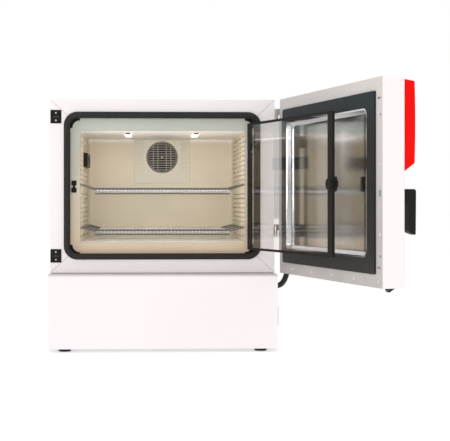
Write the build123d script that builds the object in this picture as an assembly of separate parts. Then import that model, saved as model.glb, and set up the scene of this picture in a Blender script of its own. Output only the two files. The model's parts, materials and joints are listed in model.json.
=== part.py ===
from build123d import *
import os
from math import cos, pi, radians, sin, tan

# Cooling laboratory incubator: an insulated steel cabinet on a base that holds the
# refrigeration unit, with a main door and an inner glass door, both hinged on the right
# and standing open. Millimetres. X = 0 is the middle of the cabinet, Z = 0 the table,
# and -Y is the front. Doors are drawn shut and then swung open to where they rest.

# ---- driving dimensions -------------------------------------------------------------
WIDTH = 740.0  # cabinet and base
BASE_DEPTH = 750.0
BASE_HEIGHT = 237.8  # base sheet metal, above the feet
CABINET_HEIGHT = 572.8  # above the base, seam included
FRONT_SETBACK = 90.0  # cabinet front plane behind the base front
FOOT_HEIGHT = 12.0
FOOT_RADIUS = 20.5
FOOT_INSET_X = 51.0  # foot centre from the side
FOOT_INSET_Y = 50.5  # foot centre from the front or back
SHEET = 1.6  # painted steel
LINER_SHEET = 1.2  # stainless steel
BASE_BEND = 8.0
SEAM = 2.5  # dark joint between base and cabinet
SEAM_INSET = 12.0
MITRE_GAP = 0.9  # joint between two mitred front strips

GASKET_MARGIN_SIDE = 45.0
GASKET_MARGIN_TOP = 41.0
GASKET_MARGIN_BOTTOM = 46.0
GASKET_WIDTH = 20.0
GASKET_PROUD = 14.0
GASKET_BASE = 6.0  # height of its flat foot
GASKET_CORNER = 45.0
THROAT_LAP = 0.5  # throat outside the gasket's inner edge, top and sides
SILL_LAP = 4.0  # and at the bottom
THROAT_WALL = 2.0
FLANGE_RECESS = 25.0  # inner stainless strips behind the front plane
JAMB_WIDTH = 32.2
HEADER_HEIGHT = 40.3
SILL_HEIGHT = 39.2
CORNER_PIECE = 32.0
CORNER_PIECE_ARC = 25.0
CORNER_PIECE_PROUD = 2.5

CHAMBER_DEPTH = 540.0  # inner strips to rear panel
PLENUM = 45.0  # rear panel to liner back
DUCT = 15.0  # slotted side wall to liner side
CHAMBER_CORNER = 16.0
SLOT_PITCH = 16.0
SLOT_HEIGHT = 4.0
SLOT_LENGTH = 70.0
SLOT_COLUMNS = 4

FAN_X = 5.0
FAN_BELOW_CEILING = 67.2
GRILLE_RADIUS = 60.5
COVER_WIDTH = 210.0
COVER_HEIGHT = 165.0
COVER_PROUD = 3.0
GRILLE_PITCH = 8.7
GRILLE_SLOT = 5.4
GRILLE_BRIDGE = 3.2
FAN_RADIUS = 52.0
FAN_DEPTH = 20.0
HEATER_RING = 62.0
HEATER_ROD = 3.0

RAIL_HEIGHTS = {"rack_upper": 541.5, "rack_lower": 399.0}  # rack side rails above the table
RACK_DROP = {"rack_upper": 12.0, "rack_lower": 7.5}  # rails to the top of the wires' bed
RACK_LIP = {"rack_upper": 16.7, "rack_lower": 14.0}  # between the two front bars
RAIL_ROD = 3.0  # radii of the rack's rods
BAR_ROD = 2.5
WIRE_ROD = 1.3
WIRE_PITCH = 11.7
RACK_BED_INSET = 49.0  # flat bed from the chamber wall
RACK_WALL_GAP = 3.3
RACK_FRONT_GAP = 14.0
RACK_REAR_GAP = 18.0
RACK_TRAVEL = 340.0
RUNNER_SHEET = 2.0
RUNNER_PLAY = 0.3

PROBE = (14.0, 184.0, 47.0)  # out from the wall, along it, high
PROBE_FROM_FRONT = 207.0
PROBE_BELOW_CEILING = 65.0
LAMP_X = 118.0
LAMP_FROM_FRONT = 150.0
LAMP = (22.0, 185.0, 3.0)
CEILING_SCREW_X = 168.0
CEILING_SCREW_FROM_FRONT = 48.0

STRIKE = (35.6, 44.0, 2.0)
STRIKE_INSET = 19.0  # strike centre from the cabinet side
STRIKE_TOP = 57.3  # below the top of the cabinet
STRIKE_BOTTOM = 58.2  # above the bottom of the cabinet
STRIKE_SLOT = (19.0, 4.2)
SCREW_HEAD = 3.6
SCREW_SHANK = 2.0
SCREW_HEAD_HEIGHT = 2.2

DOOR_THICKNESS = 68.0
DOOR_GAP = 20.0  # cabinet front plane to the closed door
DOOR_FLOOR_GAP = 2.0
DOOR_PIVOT_OUT = 5.0  # hinge pin outside the cabinet side
DOOR_PIVOT_AHEAD = 10.0  # and ahead of the front plane
DOOR_REST = 105.0  # degrees open
DOOR_BORDER = 36.6
PLATE_MARGIN = 80.0
PLATE_CORNER = 20.0
PLATE_THICKNESS = 1.5
PLATE_RIM = 3.0  # flat edge that lies on the dark panel
FOAM_CLEARANCE = 0.3  # between the dish and the foam behind it
PLATE_DISH = 10.0  # depth of the plate's pressed dish, with 45 degree flanks
HEADER_PROUD = 1.5
SEAL_CLEARANCE = 0.3
KNUCKLE_RADIUS = 6.0
KNUCKLE_HEIGHT = 40.6
PIN_RADIUS = 3.0
PIN_CLEARANCE = 0.08
HINGE_TOP = 51.1  # upper hinge centre below the top of the cabinet
HINGE_BOTTOM = 140.9  # lower hinge centre above the bottom of the cabinet
LEAF = (3.0, 30.0)

GLASS_REST = 109.6  # degrees open
GLASS_GAP = 8.0  # inner strips to the closed glass door
GLASS_THICKNESS = 8.0
PANE = 5.0
GLASS_MARGIN_FREE = 10.5  # glass door inside the throat
GLASS_MARGIN_TOP = 18.2
GLASS_MARGIN_BOTTOM = 16.1
GLASS_PIVOT_OUT = 14.7  # pin outside the chamber opening
GLASS_PIVOT_AHEAD = 4.0  # pin ahead of the glass door
GLASS_HINGE_EDGE = 7.0
STILE = 28.0
EDGING = 7.5
GLASS_HINGES = {"upper": 76.2, "lower": 77.1}  # centres from the throat's top and bottom
BLOCK_HEIGHT = 40.0
LUG_HEIGHT = 10.0
LUG_RADIUS = 6.0
LUG_WIDTH = 11.0
BARREL_RADIUS = 5.5
BARREL_PLAY = 0.4
GLASS_PIN = 2.5
KNOB_INSET = 16.0  # from the free edge
KNOB_RADIUS = 22.0
KNOB_PROUD = 14.0
KNOB_INNER_RADIUS = 17.0
KNOB_INNER_PROUD = 4.0
KNOB_PLAY = 0.3
KEEPER = (17.0, 40.0, 2.5)

HANDLE_INSET = 34.0  # from the door's free edge
HANDLE_TOP = 318.1  # below the top of the cabinet
HANDLE_LENGTH = 125.0
HANDLE_HEAD = 31.0
HANDLE_WIDTH = 27.0
HANDLE_GAP = 21.0  # room for fingers behind the lever
HANDLE_PROUD = 46.0
HANDLE_SHAFT = 6.0
LATCH_TRAVEL = 26.0
LATCH_TONGUE = (16.0, 3.0)
LATCH_PLAY = 1.0
LATCH_LINE_INSET = 19.0

CONTROL_TOP = 5.6  # below the top of the cabinet
CONTROL_HEIGHT = 250.0
CONTROL_PROUD = 32.0
CONTROL_CHAMFER = 23.0
CONTROL_SIDE_GAP = 4.0
CONTROL_WALL = 3.0
DISPLAY = (230.0, 120.0, 2.0)
KEY_RADIUS = 9.0
KEY_PROUD = 2.0
KEY_TRAVEL = 1.2
KEY_PLAY = 0.3
KEY_PITCH = 45.0
KEY_ROW = 40.0  # key centres above the bottom corner of the control face

HOSE_RADIUS = 9.25
HOSE_EXIT_BELOW_DOOR_FACE = 40.0  # from the door's inner face, into its thickness
HOSE_EXIT_HEIGHT = 26.0  # above the door's bottom
GLAND = (13.5, 5.0)
HOSE_LEAD = 24.0  # straight run out of the door's gland
HOSE_REACH = 46.0  # how far the hose stands off the base's side at its widest
HOSE_STEPS = (14.0, 24.0, 28.0)  # the hose's corners behind its straight run
HOSE_DROPS = (0.0, 32.0, 47.0)  # the same corners below the base's top
GLAND_FIT = 0.05  # radial, between hose and gland
GLAND_REACH = 14.0  # how far the hose runs in behind each gland's face
BUMPER = (20.0, 24.0, 11.5)

VENT = (8.0, 150.0, 67.0)
VENT_FROM_FRONT = 45.0
VENT_HEIGHT = 79.0

# ---- worked out ---------------------------------------------------------------------
HALF = WIDTH / 2
BASE_TOP = FOOT_HEIGHT + BASE_HEIGHT
TOP = BASE_TOP + CABINET_HEIGHT
BACK = BASE_DEPTH / 2
BASE_FRONT = -BACK
FRONT = BASE_FRONT + FRONT_SETBACK
CABINET_BOTTOM = BASE_TOP + SEAM
FLANGE_Y = FRONT + FLANGE_RECESS
STRIP_BACK = FLANGE_Y + LINER_SHEET

GASKET_HALF = HALF - GASKET_MARGIN_SIDE
GASKET_Z = (BASE_TOP + GASKET_MARGIN_BOTTOM, TOP - GASKET_MARGIN_TOP)
THROAT_HALF = GASKET_HALF - GASKET_WIDTH + THROAT_LAP
THROAT_Z = (GASKET_Z[0] + GASKET_WIDTH - SILL_LAP, GASKET_Z[1] - GASKET_WIDTH + THROAT_LAP)
OPEN_HALF = THROAT_HALF - JAMB_WIDTH
OPEN_Z = (THROAT_Z[0] + SILL_HEIGHT, THROAT_Z[1] - HEADER_HEIGHT)
REAR_Y = FLANGE_Y + CHAMBER_DEPTH
LINER_BACK = REAR_Y + PLENUM
LINER_HALF = OPEN_HALF + DUCT
FAN_Z = OPEN_Z[1] - FAN_BELOW_CEILING

DOOR_IN = FRONT - DOOR_GAP
DOOR_OUT = DOOR_IN - DOOR_THICKNESS
DOOR_Z = (BASE_TOP + DOOR_FLOOR_GAP, TOP)
DOOR_PIVOT = (HALF + DOOR_PIVOT_OUT, FRONT - DOOR_PIVOT_AHEAD)
PANEL_FACE = FRONT - GASKET_PROUD - SEAL_CLEARANCE
HINGE_Z = (BASE_TOP + HINGE_BOTTOM, TOP - HINGE_TOP)

GLASS_IN = FLANGE_Y - GLASS_GAP
GLASS_OUT = GLASS_IN - GLASS_THICKNESS
GLASS_PIVOT = (OPEN_HALF + GLASS_PIVOT_OUT, GLASS_OUT - GLASS_PIVOT_AHEAD)
GLASS_X = (-THROAT_HALF + GLASS_MARGIN_FREE, GLASS_PIVOT[0] - GLASS_HINGE_EDGE)
GLASS_Z = (THROAT_Z[0] + GLASS_MARGIN_BOTTOM, THROAT_Z[1] - GLASS_MARGIN_TOP)
GLASS_HINGE_Z = (THROAT_Z[0] + GLASS_HINGES["lower"], THROAT_Z[1] - GLASS_HINGES["upper"])
KNOB = (GLASS_X[0] + KNOB_INSET, (GLASS_Z[0] + GLASS_Z[1]) / 2)

STRIKE_X = -HALF + STRIKE_INSET
STRIKE_Z = (BASE_TOP + STRIKE_BOTTOM, TOP - STRIKE_TOP)
HANDLE_X = -HALF + HANDLE_INSET
HANDLE_Z = TOP - HANDLE_TOP
LATCH_X = -HALF + LATCH_LINE_INSET
CONTROL_Z = (TOP - CONTROL_TOP - CONTROL_HEIGHT, TOP - CONTROL_TOP)

os.makedirs("parts", exist_ok=True)


# ---- shapes -------------------------------------------------------------------------

HOSE_DOOR_Y = DOOR_IN - HOSE_EXIT_BELOW_DOOR_FACE
HOSE_DOOR_Z = DOOR_Z[0] + HOSE_EXIT_HEIGHT
GLAND_BORE = GLAND[0] - 2.0
SWING = radians(DOOR_REST)
OUTWARD = Vector(cos(SWING), sin(SWING), 0)
HOSE_START = Vector(DOOR_PIVOT[0], DOOR_PIVOT[1], HOSE_DOOR_Z) + Vector(
    HALF - DOOR_PIVOT[0], HOSE_DOOR_Y - DOOR_PIVOT[1], 0
).rotate(Axis.Z, DOOR_REST)
HOSE_BEND = HOSE_START + OUTWARD * HOSE_LEAD
HOSE_END = (HALF, HOSE_BEND.Y + HOSE_STEPS[2], BASE_TOP - HOSE_DROPS[2])


def block(x, y, z):
    """A box from (low, high) along each axis."""
    size = Box(x[1] - x[0], y[1] - y[0], z[1] - z[0])
    return Pos((x[0] + x[1]) / 2, (y[0] + y[1]) / 2, (z[0] + z[1]) / 2) * size


def around(middle, half):
    return (middle - half, middle + half)


def panel(x, z, y, corner=0.0):
    """A plate in the XZ plane with rounded corners, from y[0] to y[1]."""
    if corner <= 0:
        return block(x, y, z)
    plane = Plane(((x[0] + x[1]) / 2, y[0], (z[0] + z[1]) / 2), x_dir=(1, 0, 0), z_dir=(0, 1, 0))
    return extrude(plane * RectangleRounded(x[1] - x[0], z[1] - z[0], corner), y[1] - y[0])


def ring(x, z, y, width, corner, inner_corner):
    """A rounded rectangular ring of even width in the XZ plane."""
    inside = panel((x[0] + width, x[1] - width), (z[0] + width, z[1] - width), y, inner_corner)
    return panel(x, z, y, corner) - inside


def dish(x, z, y, depth, corner):
    """A rounded rectangular plug that narrows at 45 degrees, away from the face at y."""
    face = Plane(origin=(sum(x) / 2, y, sum(z) / 2), x_dir=(1, 0, 0), z_dir=(0, -1, 0))
    return extrude(face * RectangleRounded(x[1] - x[0], z[1] - z[0], corner), depth, taper=45)


def grown(span, by):
    return (span[0] - by, span[1] + by)


def rod(start, end, radius):
    """A round bar between two points."""
    way = Vector(*end) - Vector(*start)
    plane = Plane(Vector(*start), z_dir=way)
    return plane * Cylinder(radius, way.length, align=(Align.CENTER, Align.CENTER, Align.MIN))


def along_y(x, y, z, radius):
    return rod((x, y[0], z), (x, y[1], z), radius)


def upright(x, y, z, radius):
    return rod((x, y, z[0]), (x, y, z[1]), radius)


def tube(points, radii, radius):
    """A round tube along straight runs joined by tangent arcs."""
    path = FilletPolyline(*points, radius=radii)
    return sweep(Plane(path @ 0, z_dir=path % 0) * Circle(radius), path=path)


def joined(pieces):
    """Pieces that overlap or share faces, as one body."""
    return pieces[0].fuse(*pieces[1:]) if len(pieces) > 1 else pieces[0]


def screw(at, out):
    """A pan-head screw: the head stands on the surface at `at`, facing along `out`."""
    plane = Plane(Vector(*at), z_dir=out)
    collar = plane * Cylinder(SCREW_HEAD, 1.0, align=(Align.CENTER, Align.CENTER, Align.MIN))
    top = plane.offset(1.0) * Cone(
        SCREW_HEAD, SCREW_HEAD * 0.6, SCREW_HEAD_HEIGHT - 1.0, align=(Align.CENTER, Align.CENTER, Align.MIN)
    )
    return joined([collar, top])


def swung(shape, pivot, degrees):
    """A shape drawn with its door shut, where it is with the door open."""
    return Pos(pivot[0], pivot[1], 0) * Rot(0, 0, degrees) * Pos(-pivot[0], -pivot[1], 0) * shape


def save(name, *shapes):
    solids = [s for shape in shapes for s in shape.solids()]
    export_step(solids[0] if len(solids) == 1 else Compound(solids), f"parts/{name}.step")


def save_door(name, *shapes):
    save(name, *[swung(s, DOOR_PIVOT, DOOR_REST) for s in shapes])


def save_glass(name, *shapes):
    save(name, *[swung(s, GLASS_PIVOT, GLASS_REST) for s in shapes])


# ---- base ---------------------------------------------------------------------------
SUCTION = (200.0, BACK - 25.0)
LIQUID = (175.0, BACK - 37.0)
SUCTION_RADIUS = 5.0
LIQUID_RADIUS = 3.0
PIPE_HOLE = 1.0
PIPE_TOP = 470.0
LIQUID_TOP = 440.0
PAN_TOP = FOOT_HEIGHT + SHEET
COMPRESSOR = (200.0, 60.0)
SHELL_RADIUS = 75.0
STUB = 10.0
SHELL_Z = (32.0, 178.0)
SUCTION_STUB_Z = 130.0
CONDENSER_X = (-320.0, -40.0)
CONDENSER_Y = (BACK - 75.0, BACK - 30.0)
CONDENSER_TOP = 205.0
COND_FAN = (-180.0, 112.0)
COND_FAN_RADIUS = 82.0
COND_FAN_Y = (CONDENSER_Y[0] - 62.0, CONDENSER_Y[0] - 42.0)


def pipe_holes(z):
    """What the two refrigerant lines need through a sheet."""
    return [
        upright(*SUCTION, z, SUCTION_RADIUS + PIPE_HOLE),
        upright(*LIQUID, z, LIQUID_RADIUS + PIPE_HOLE),
    ]


def make_base():
    def wedge_of(y, z, bend):
        """A solid with its upper front edge rounded, across the whole width."""
        solid = block((-HALF, HALF), y, z)
        edge = solid.edges().filter_by(Axis.X).sort_by(lambda e: e.center().Z - e.center().Y)[-1]
        return fillet(edge, bend)

    outer = wedge_of((BASE_FRONT, BACK - SHEET), (FOOT_HEIGHT, BASE_TOP), BASE_BEND)
    inner = wedge_of(
        (BASE_FRONT + SHEET, BACK), (FOOT_HEIGHT - 5, BASE_TOP - SHEET), BASE_BEND - SHEET
    )
    bent = outer - inner
    platform = block(
        around(0, HALF - SEAM_INSET),
        (FRONT + SEAM_INSET, BACK - SEAM_INSET),
        (BASE_TOP, CABINET_BOTTOM),
    )
    bent = joined([bent, platform])
    save("base_front_panel", bent - pipe_holes((BASE_TOP - 5, CABINET_BOTTOM + 5)))

    def side_sheet(x):
        low = block(x, (BASE_FRONT + SHEET, BACK - SHEET), (PAN_TOP, BASE_TOP - BASE_BEND))
        high = block(x, (BASE_FRONT + BASE_BEND, BACK - SHEET), (PAN_TOP, BASE_TOP - SHEET))
        return joined([low, high])

    hose_hole = rod((HALF - 9, HOSE_END[1], HOSE_END[2]), (HALF + 9, HOSE_END[1], HOSE_END[2]), GLAND_BORE)
    save(
        "base_sides",
        side_sheet((-HALF, -HALF + SHEET)),
        side_sheet((HALF - SHEET, HALF)) - hose_hole,
    )
    pan = block(around(0, HALF), (BASE_FRONT + SHEET, BACK - SHEET), (FOOT_HEIGHT, PAN_TOP))
    save("base_floor_pan", pan)

    feet = []
    for x in (-HALF + FOOT_INSET_X, HALF - FOOT_INSET_X):
        for y in (BASE_FRONT + FOOT_INSET_Y, BACK - FOOT_INSET_Y):
            foot = upright(x, y, (0, FOOT_HEIGHT), FOOT_RADIUS)
            feet.append(chamfer(foot.edges().group_by(Axis.Z)[0], 2.0))
    save("feet", *feet)

    rear = block(around(0, HALF), (BACK - SHEET, BACK), (FOOT_HEIGHT, BASE_TOP))
    cuts = [inlet_opening()]
    louvre = (CONDENSER_X[0] + 20, CONDENSER_X[1] - 20)
    rows = int((CONDENSER_TOP - PAN_TOP - 50) // 14)
    for row in range(rows):
        z = PAN_TOP + 30 + row * 14
        cuts.append(block(louvre, (BACK - SHEET - 1, BACK + 1), (z, z + 6)))
    save("base_rear_panel", rear - cuts)

    y0 = BASE_FRONT + VENT_FROM_FRONT
    cover = block((HALF, HALF + VENT[0]), (y0, y0 + VENT[1]), (VENT_HEIGHT, VENT_HEIGHT + VENT[2]))
    cover = chamfer(cover.edges().group_by(Axis.X)[-1], 2.5)
    slots = [
        block((HALF + 2, HALF + VENT[0] + 1), (y0 + 12, y0 + VENT[1] - 12), (z, z + 3.5))
        for z in [VENT_HEIGHT + 10 + 9 * i for i in range(int((VENT[2] - 16) // 9))]
    ]
    save("side_vent_cover", cover - slots)


INLET = (280.0, 80.0)
INLET_SIZE = (48.0, 27.0)


def inlet_opening():
    return block(
        around(INLET[0], INLET_SIZE[0] / 2), (BACK - 40, BACK + 5), around(INLET[1], INLET_SIZE[1] / 2)
    )


def make_inlet():
    """A three-pin mains inlet, seated in its opening in the rear sheet."""
    body = block(
        around(INLET[0], INLET_SIZE[0] / 2), (BACK - 24, BACK), around(INLET[1], INLET_SIZE[1] / 2)
    )
    rim = panel(
        around(INLET[0], INLET_SIZE[0] / 2 + 6), around(INLET[1], INLET_SIZE[1] / 2 + 4), (BACK, BACK + 2), 4
    )
    well = block(around(INLET[0], 18), (BACK - 18, BACK + 3), around(INLET[1], 9))
    pins = [
        block(around(INLET[0] + x, 2.2), (BACK - 20, BACK - 4), around(INLET[1] + z, 1.1))
        for x, z in ((-8, -2), (0, 4), (8, -2))
    ]
    save("power_inlet", joined([joined([body, rim]) - well, *pins]))


def make_refrigeration():
    x, y = COMPRESSOR
    rise = 26.0
    profile = Polyline(
        (0, SHELL_Z[0]), (SHELL_RADIUS - rise, SHELL_Z[0]), (SHELL_RADIUS, SHELL_Z[0] + rise)
    ) + Polyline((SHELL_RADIUS, SHELL_Z[0] + rise), (SHELL_RADIUS, SHELL_Z[1] - rise))
    profile += ThreePointArc(
        (SHELL_RADIUS, SHELL_Z[1] - rise), (SHELL_RADIUS * 0.72, SHELL_Z[1] - 7), (0, SHELL_Z[1])
    )
    profile += Line((0, SHELL_Z[1]), (0, SHELL_Z[0]))
    shell = Pos(x, y, 0) * revolve(Plane.XZ * make_face(profile), Axis.Z)
    stubs = [
        rod((x - SHELL_RADIUS + 4, y, 150), (x - SHELL_RADIUS - STUB, y, 150), 8),
        rod(
            (x, y + SHELL_RADIUS - 4, SUCTION_STUB_Z), (x, y + SHELL_RADIUS + STUB, SUCTION_STUB_Z), 9
        ),
    ]
    plate_z = (SHELL_Z[0] - 4, SHELL_Z[0])
    plate = block(around(x, 105), around(y, 62), plate_z)
    grommets = [
        upright(x + a * 92, y + b * 48, (PAN_TOP, plate_z[0]), 12) for a in (-1, 1) for b in (-1, 1)
    ]
    save("compressor", joined([shell, *stubs]), plate, *grommets)

    core = []
    fins = int((CONDENSER_X[1] - CONDENSER_X[0] - 24) // 9)
    for i in range(fins + 1):
        fx = CONDENSER_X[0] + 12 + i * 9
        core.append(block((fx, fx + 1), CONDENSER_Y, (PAN_TOP, CONDENSER_TOP)))
    rows = [PAN_TOP + 20 + i * 28 for i in range(int((CONDENSER_TOP - PAN_TOP - 20) // 28) + 1)]
    for z in rows:
        middle = (CONDENSER_Y[0] + CONDENSER_Y[1]) / 2
        core.append(rod((CONDENSER_X[0], middle, z), (CONDENSER_X[1], middle, z), 4))
    for fx in CONDENSER_X:
        core.append(block(around(fx, 2), around((CONDENSER_Y[0] + CONDENSER_Y[1]) / 2, 14),
                          (PAN_TOP, CONDENSER_TOP)))
    save("condenser_coil", joined(core))

    fx, fz = COND_FAN
    plate_y = (CONDENSER_Y[0] - 40, CONDENSER_Y[0] - 38)
    mouth = along_y(fx, (plate_y[0] - 40, plate_y[1] + 5), fz, COND_FAN_RADIUS + 4)
    frame = block(around(fx, 130), plate_y, (PAN_TOP, fz + COND_FAN_RADIUS + 12))
    collar = along_y(fx, (plate_y[0] - 22, plate_y[1]), fz, COND_FAN_RADIUS + 6)
    arms = [
        block(around(fx, COND_FAN_RADIUS + 10), (plate_y[1], plate_y[1] + 4), around(fz, 6)),
        block(around(fx, 6), (plate_y[1], plate_y[1] + 4), around(fz, COND_FAN_RADIUS + 8)),
    ]
    motor = along_y(fx, (plate_y[1], plate_y[1] + 34), fz, 25)
    shaft = along_y(fx, (COND_FAN_Y[0] - 2, plate_y[1] + 2), fz, 4)
    save("condenser_fan_frame", joined([joined([frame, collar]) - mouth, *arms, motor, shaft]))

    hub = along_y(fx, COND_FAN_Y, fz, 22)
    blades = []
    for i in range(5):
        blade = Pos(52, 0, 0) * Rot(32, 0, 0) * Box(66, 3, 40)
        blades.append(Pos(fx, sum(COND_FAN_Y) / 2, fz) * Rot(0, 72 * i, 0) * blade)
    wheel = joined([hub, *blades])
    wheel &= along_y(fx, grown(COND_FAN_Y, -0.5), fz, COND_FAN_RADIUS)
    save("condenser_fan_wheel", wheel - along_y(fx, grown(COND_FAN_Y, 5), fz, 4 + PIN_CLEARANCE))

    tray = block((-330, -120), (BASE_FRONT + 75, BASE_FRONT + 255), (PAN_TOP, PAN_TOP + 32))
    hollow = block((-328.5, -121.5), (BASE_FRONT + 76.5, BASE_FRONT + 253.5), (PAN_TOP + 1.5, PAN_TOP + 40))
    save("drip_tray", tray - hollow)

    evaporator_back = EVAPORATOR_Y[1]
    condenser_mid = sum(CONDENSER_Y) / 2
    suction = tube(
        [
            (SUCTION[0], evaporator_back, PIPE_TOP),
            (*SUCTION, PIPE_TOP),
            (*SUCTION, SUCTION_STUB_Z),
            (SUCTION[0], COMPRESSOR[1] + SHELL_RADIUS + STUB, SUCTION_STUB_Z),
        ],
        [12.0, 24.0],
        SUCTION_RADIUS,
    )
    liquid = tube(
        [
            (CONDENSER_X[1] + 2, LIQUID[1], CONDENSER_TOP - 15),
            (*LIQUID, CONDENSER_TOP - 15),
            (*LIQUID, LIQUID_TOP),
            (LIQUID[0], evaporator_back, LIQUID_TOP),
        ],
        [20.0, 9.0],
        LIQUID_RADIUS,
    )
    discharge = tube(
        [
            (COMPRESSOR[0] - SHELL_RADIUS - STUB, COMPRESSOR[1], 150),
            (20, COMPRESSOR[1], 150),
            (20, condenser_mid, 150),
            (CONDENSER_X[1] + 2, condenser_mid, 150),
        ],
        [24.0, 24.0],
        4.0,
    )
    save("refrigerant_pipes", suction, liquid, discharge)


# ---- cabinet ------------------------------------------------------------------------
EVAPORATOR_Y = (REAR_Y + 9, REAR_Y + 38)
EVAPORATOR_X = (-205.0, 225.0)
EVAPORATOR_Z = (OPEN_Z[0] + 32, OPEN_Z[0] + 225)
STRIKE_POCKET = (11.0, 4.0, 12.0)


def strike_pockets():
    """Room behind the front strip for the two latch tongues."""
    return [
        block(around(STRIKE_X, STRIKE_POCKET[0]), (FRONT - 5, FRONT + STRIKE_POCKET[2]),
              around(z, STRIKE_POCKET[1]))
        for z in STRIKE_Z
    ]


def strike_screw_places():
    return [(STRIKE_X, z + up) for z in STRIKE_Z for up in (-12.5, 12.5)]


def make_casing():
    outer_y = (FRONT + SHEET, BACK - SHEET)
    wrap = block(around(0, HALF), outer_y, (CABINET_BOTTOM, TOP - SHEET)) - block(
        around(0, HALF - SHEET), grown(outer_y, 5), (CABINET_BOTTOM + SHEET, TOP + 5)
    )
    save("casing_wrap", wrap - pipe_holes((CABINET_BOTTOM - 5, CABINET_BOTTOM + 5)))
    save("casing_top", block(around(0, HALF), (FRONT + SHEET, BACK), (TOP - SHEET, TOP)))
    save("casing_rear", block(around(0, HALF), (BACK - SHEET, BACK), (CABINET_BOTTOM, TOP - SHEET)))

    outer = ((-HALF, HALF), (CABINET_BOTTOM, TOP))
    inner = (around(0, THROAT_HALF + THROAT_WALL), grown(THROAT_Z, THROAT_WALL))
    face = block(outer[0], (FRONT, FRONT + SHEET), outer[1])
    face -= block(inner[0], (FRONT - 5, FRONT + 5), inner[1])
    seams = []
    for side in (0, 1):
        for end in (0, 1):
            a = Vector(outer[0][side], FRONT + SHEET / 2, outer[1][end])
            b = Vector(inner[0][side], FRONT + SHEET / 2, inner[1][end])
            plane = Plane((a + b) / 2, x_dir=b - a, z_dir=(0, 1, 0))
            seams.append(plane * Box((b - a).length + 30, MITRE_GAP, 3 * SHEET))
    save("front_frame", face - seams - strike_pockets())

    foam = block(around(0, HALF - SHEET), outer_y, (CABINET_BOTTOM + SHEET, TOP - SHEET))
    foam -= block(
        around(0, THROAT_HALF + THROAT_WALL), (FRONT - 5, STRIP_BACK + THROAT_WALL), grown(THROAT_Z, THROAT_WALL)
    )
    foam -= block(
        around(0, LINER_HALF + LINER_SHEET), (FRONT - 5, LINER_BACK + LINER_SHEET), grown(OPEN_Z, LINER_SHEET)
    )
    chase = block(
        (LIQUID[0] - 12, SUCTION[0] + 12), (LINER_BACK, SUCTION[1] + 12), (CABINET_BOTTOM, PIPE_TOP + 14)
    )
    save("insulation", foam - chase - strike_pockets())


def make_front():
    gasket_x = around(0, GASKET_HALF)
    flat = ring(
        gasket_x, GASKET_Z, (FRONT - GASKET_BASE, FRONT), GASKET_WIDTH, GASKET_CORNER,
        GASKET_CORNER - GASKET_WIDTH,
    )
    lip = 3.0
    bulb_width = GASKET_WIDTH - 2 * lip
    bulb = ring(
        grown(gasket_x, -lip), grown(GASKET_Z, -lip), (FRONT - GASKET_PROUD, FRONT), bulb_width,
        GASKET_CORNER - lip, GASKET_CORNER - GASKET_WIDTH + lip,
    )
    bulb = fillet(bulb.faces().sort_by(Axis.Y)[0].edges(), bulb_width * 0.32)
    save("door_gasket", joined([flat, bulb]))

    wall = (around(0, THROAT_HALF + THROAT_WALL), grown(THROAT_Z, THROAT_WALL))
    throat = block(wall[0], (FRONT, STRIP_BACK + THROAT_WALL), wall[1])
    throat -= block(around(0, THROAT_HALF), (FRONT - 5, STRIP_BACK), THROAT_Z)
    throat -= block(
        around(0, LINER_HALF + LINER_SHEET), (FRONT, BACK), grown(OPEN_Z, LINER_SHEET)
    )
    corners = []
    for sx in (-1, 1):
        for z, sz in ((THROAT_Z[0], -1), (THROAT_Z[1], 1)):
            cx, cz = sx * (THROAT_HALF - CORNER_PIECE), z - sz * CORNER_PIECE
            square = block(
                sorted((cx, sx * THROAT_HALF)), (FLANGE_Y - CORNER_PIECE_PROUD, FLANGE_Y), sorted((cz, z))
            )
            corners.append(square - along_y(cx, (FLANGE_Y - 9, FLANGE_Y + 9), cz, CORNER_PIECE_ARC))
    save("breaker_frame", joined([throat, *corners]))

    strip = (FLANGE_Y, STRIP_BACK)
    proud = (FLANGE_Y - HEADER_PROUD, STRIP_BACK)
    save(
        "chamber_flange",
        block((-THROAT_HALF, -OPEN_HALF), strip, THROAT_Z),
        block((OPEN_HALF, THROAT_HALF), strip, THROAT_Z),
        block(around(0, OPEN_HALF), proud, (THROAT_Z[0], OPEN_Z[0])),
        block(around(0, OPEN_HALF), proud, (OPEN_Z[1], THROAT_Z[1])),
    )

    plates = []
    for z in STRIKE_Z:
        plate = panel(around(STRIKE_X, STRIKE[0] / 2), around(z, STRIKE[1] / 2),
                      (FRONT - STRIKE[2], FRONT), 1.5)
        plate -= block(around(STRIKE_X, STRIKE_SLOT[0] / 2), (FRONT - 5, FRONT + 5),
                       around(z, STRIKE_SLOT[1] / 2))
        plates.append(plate)
    save("strike_plates", *plates)
    screws = [screw((x, FRONT - STRIKE[2], z), (0, -1, 0)) for x, z in strike_screw_places()]
    for x in (-CEILING_SCREW_X, CEILING_SCREW_X):
        screws.append(screw((x, FLANGE_Y + CEILING_SCREW_FROM_FRONT, OPEN_Z[1]), (0, 0, -1)))
    save("cabinet_screws", *screws)


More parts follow.
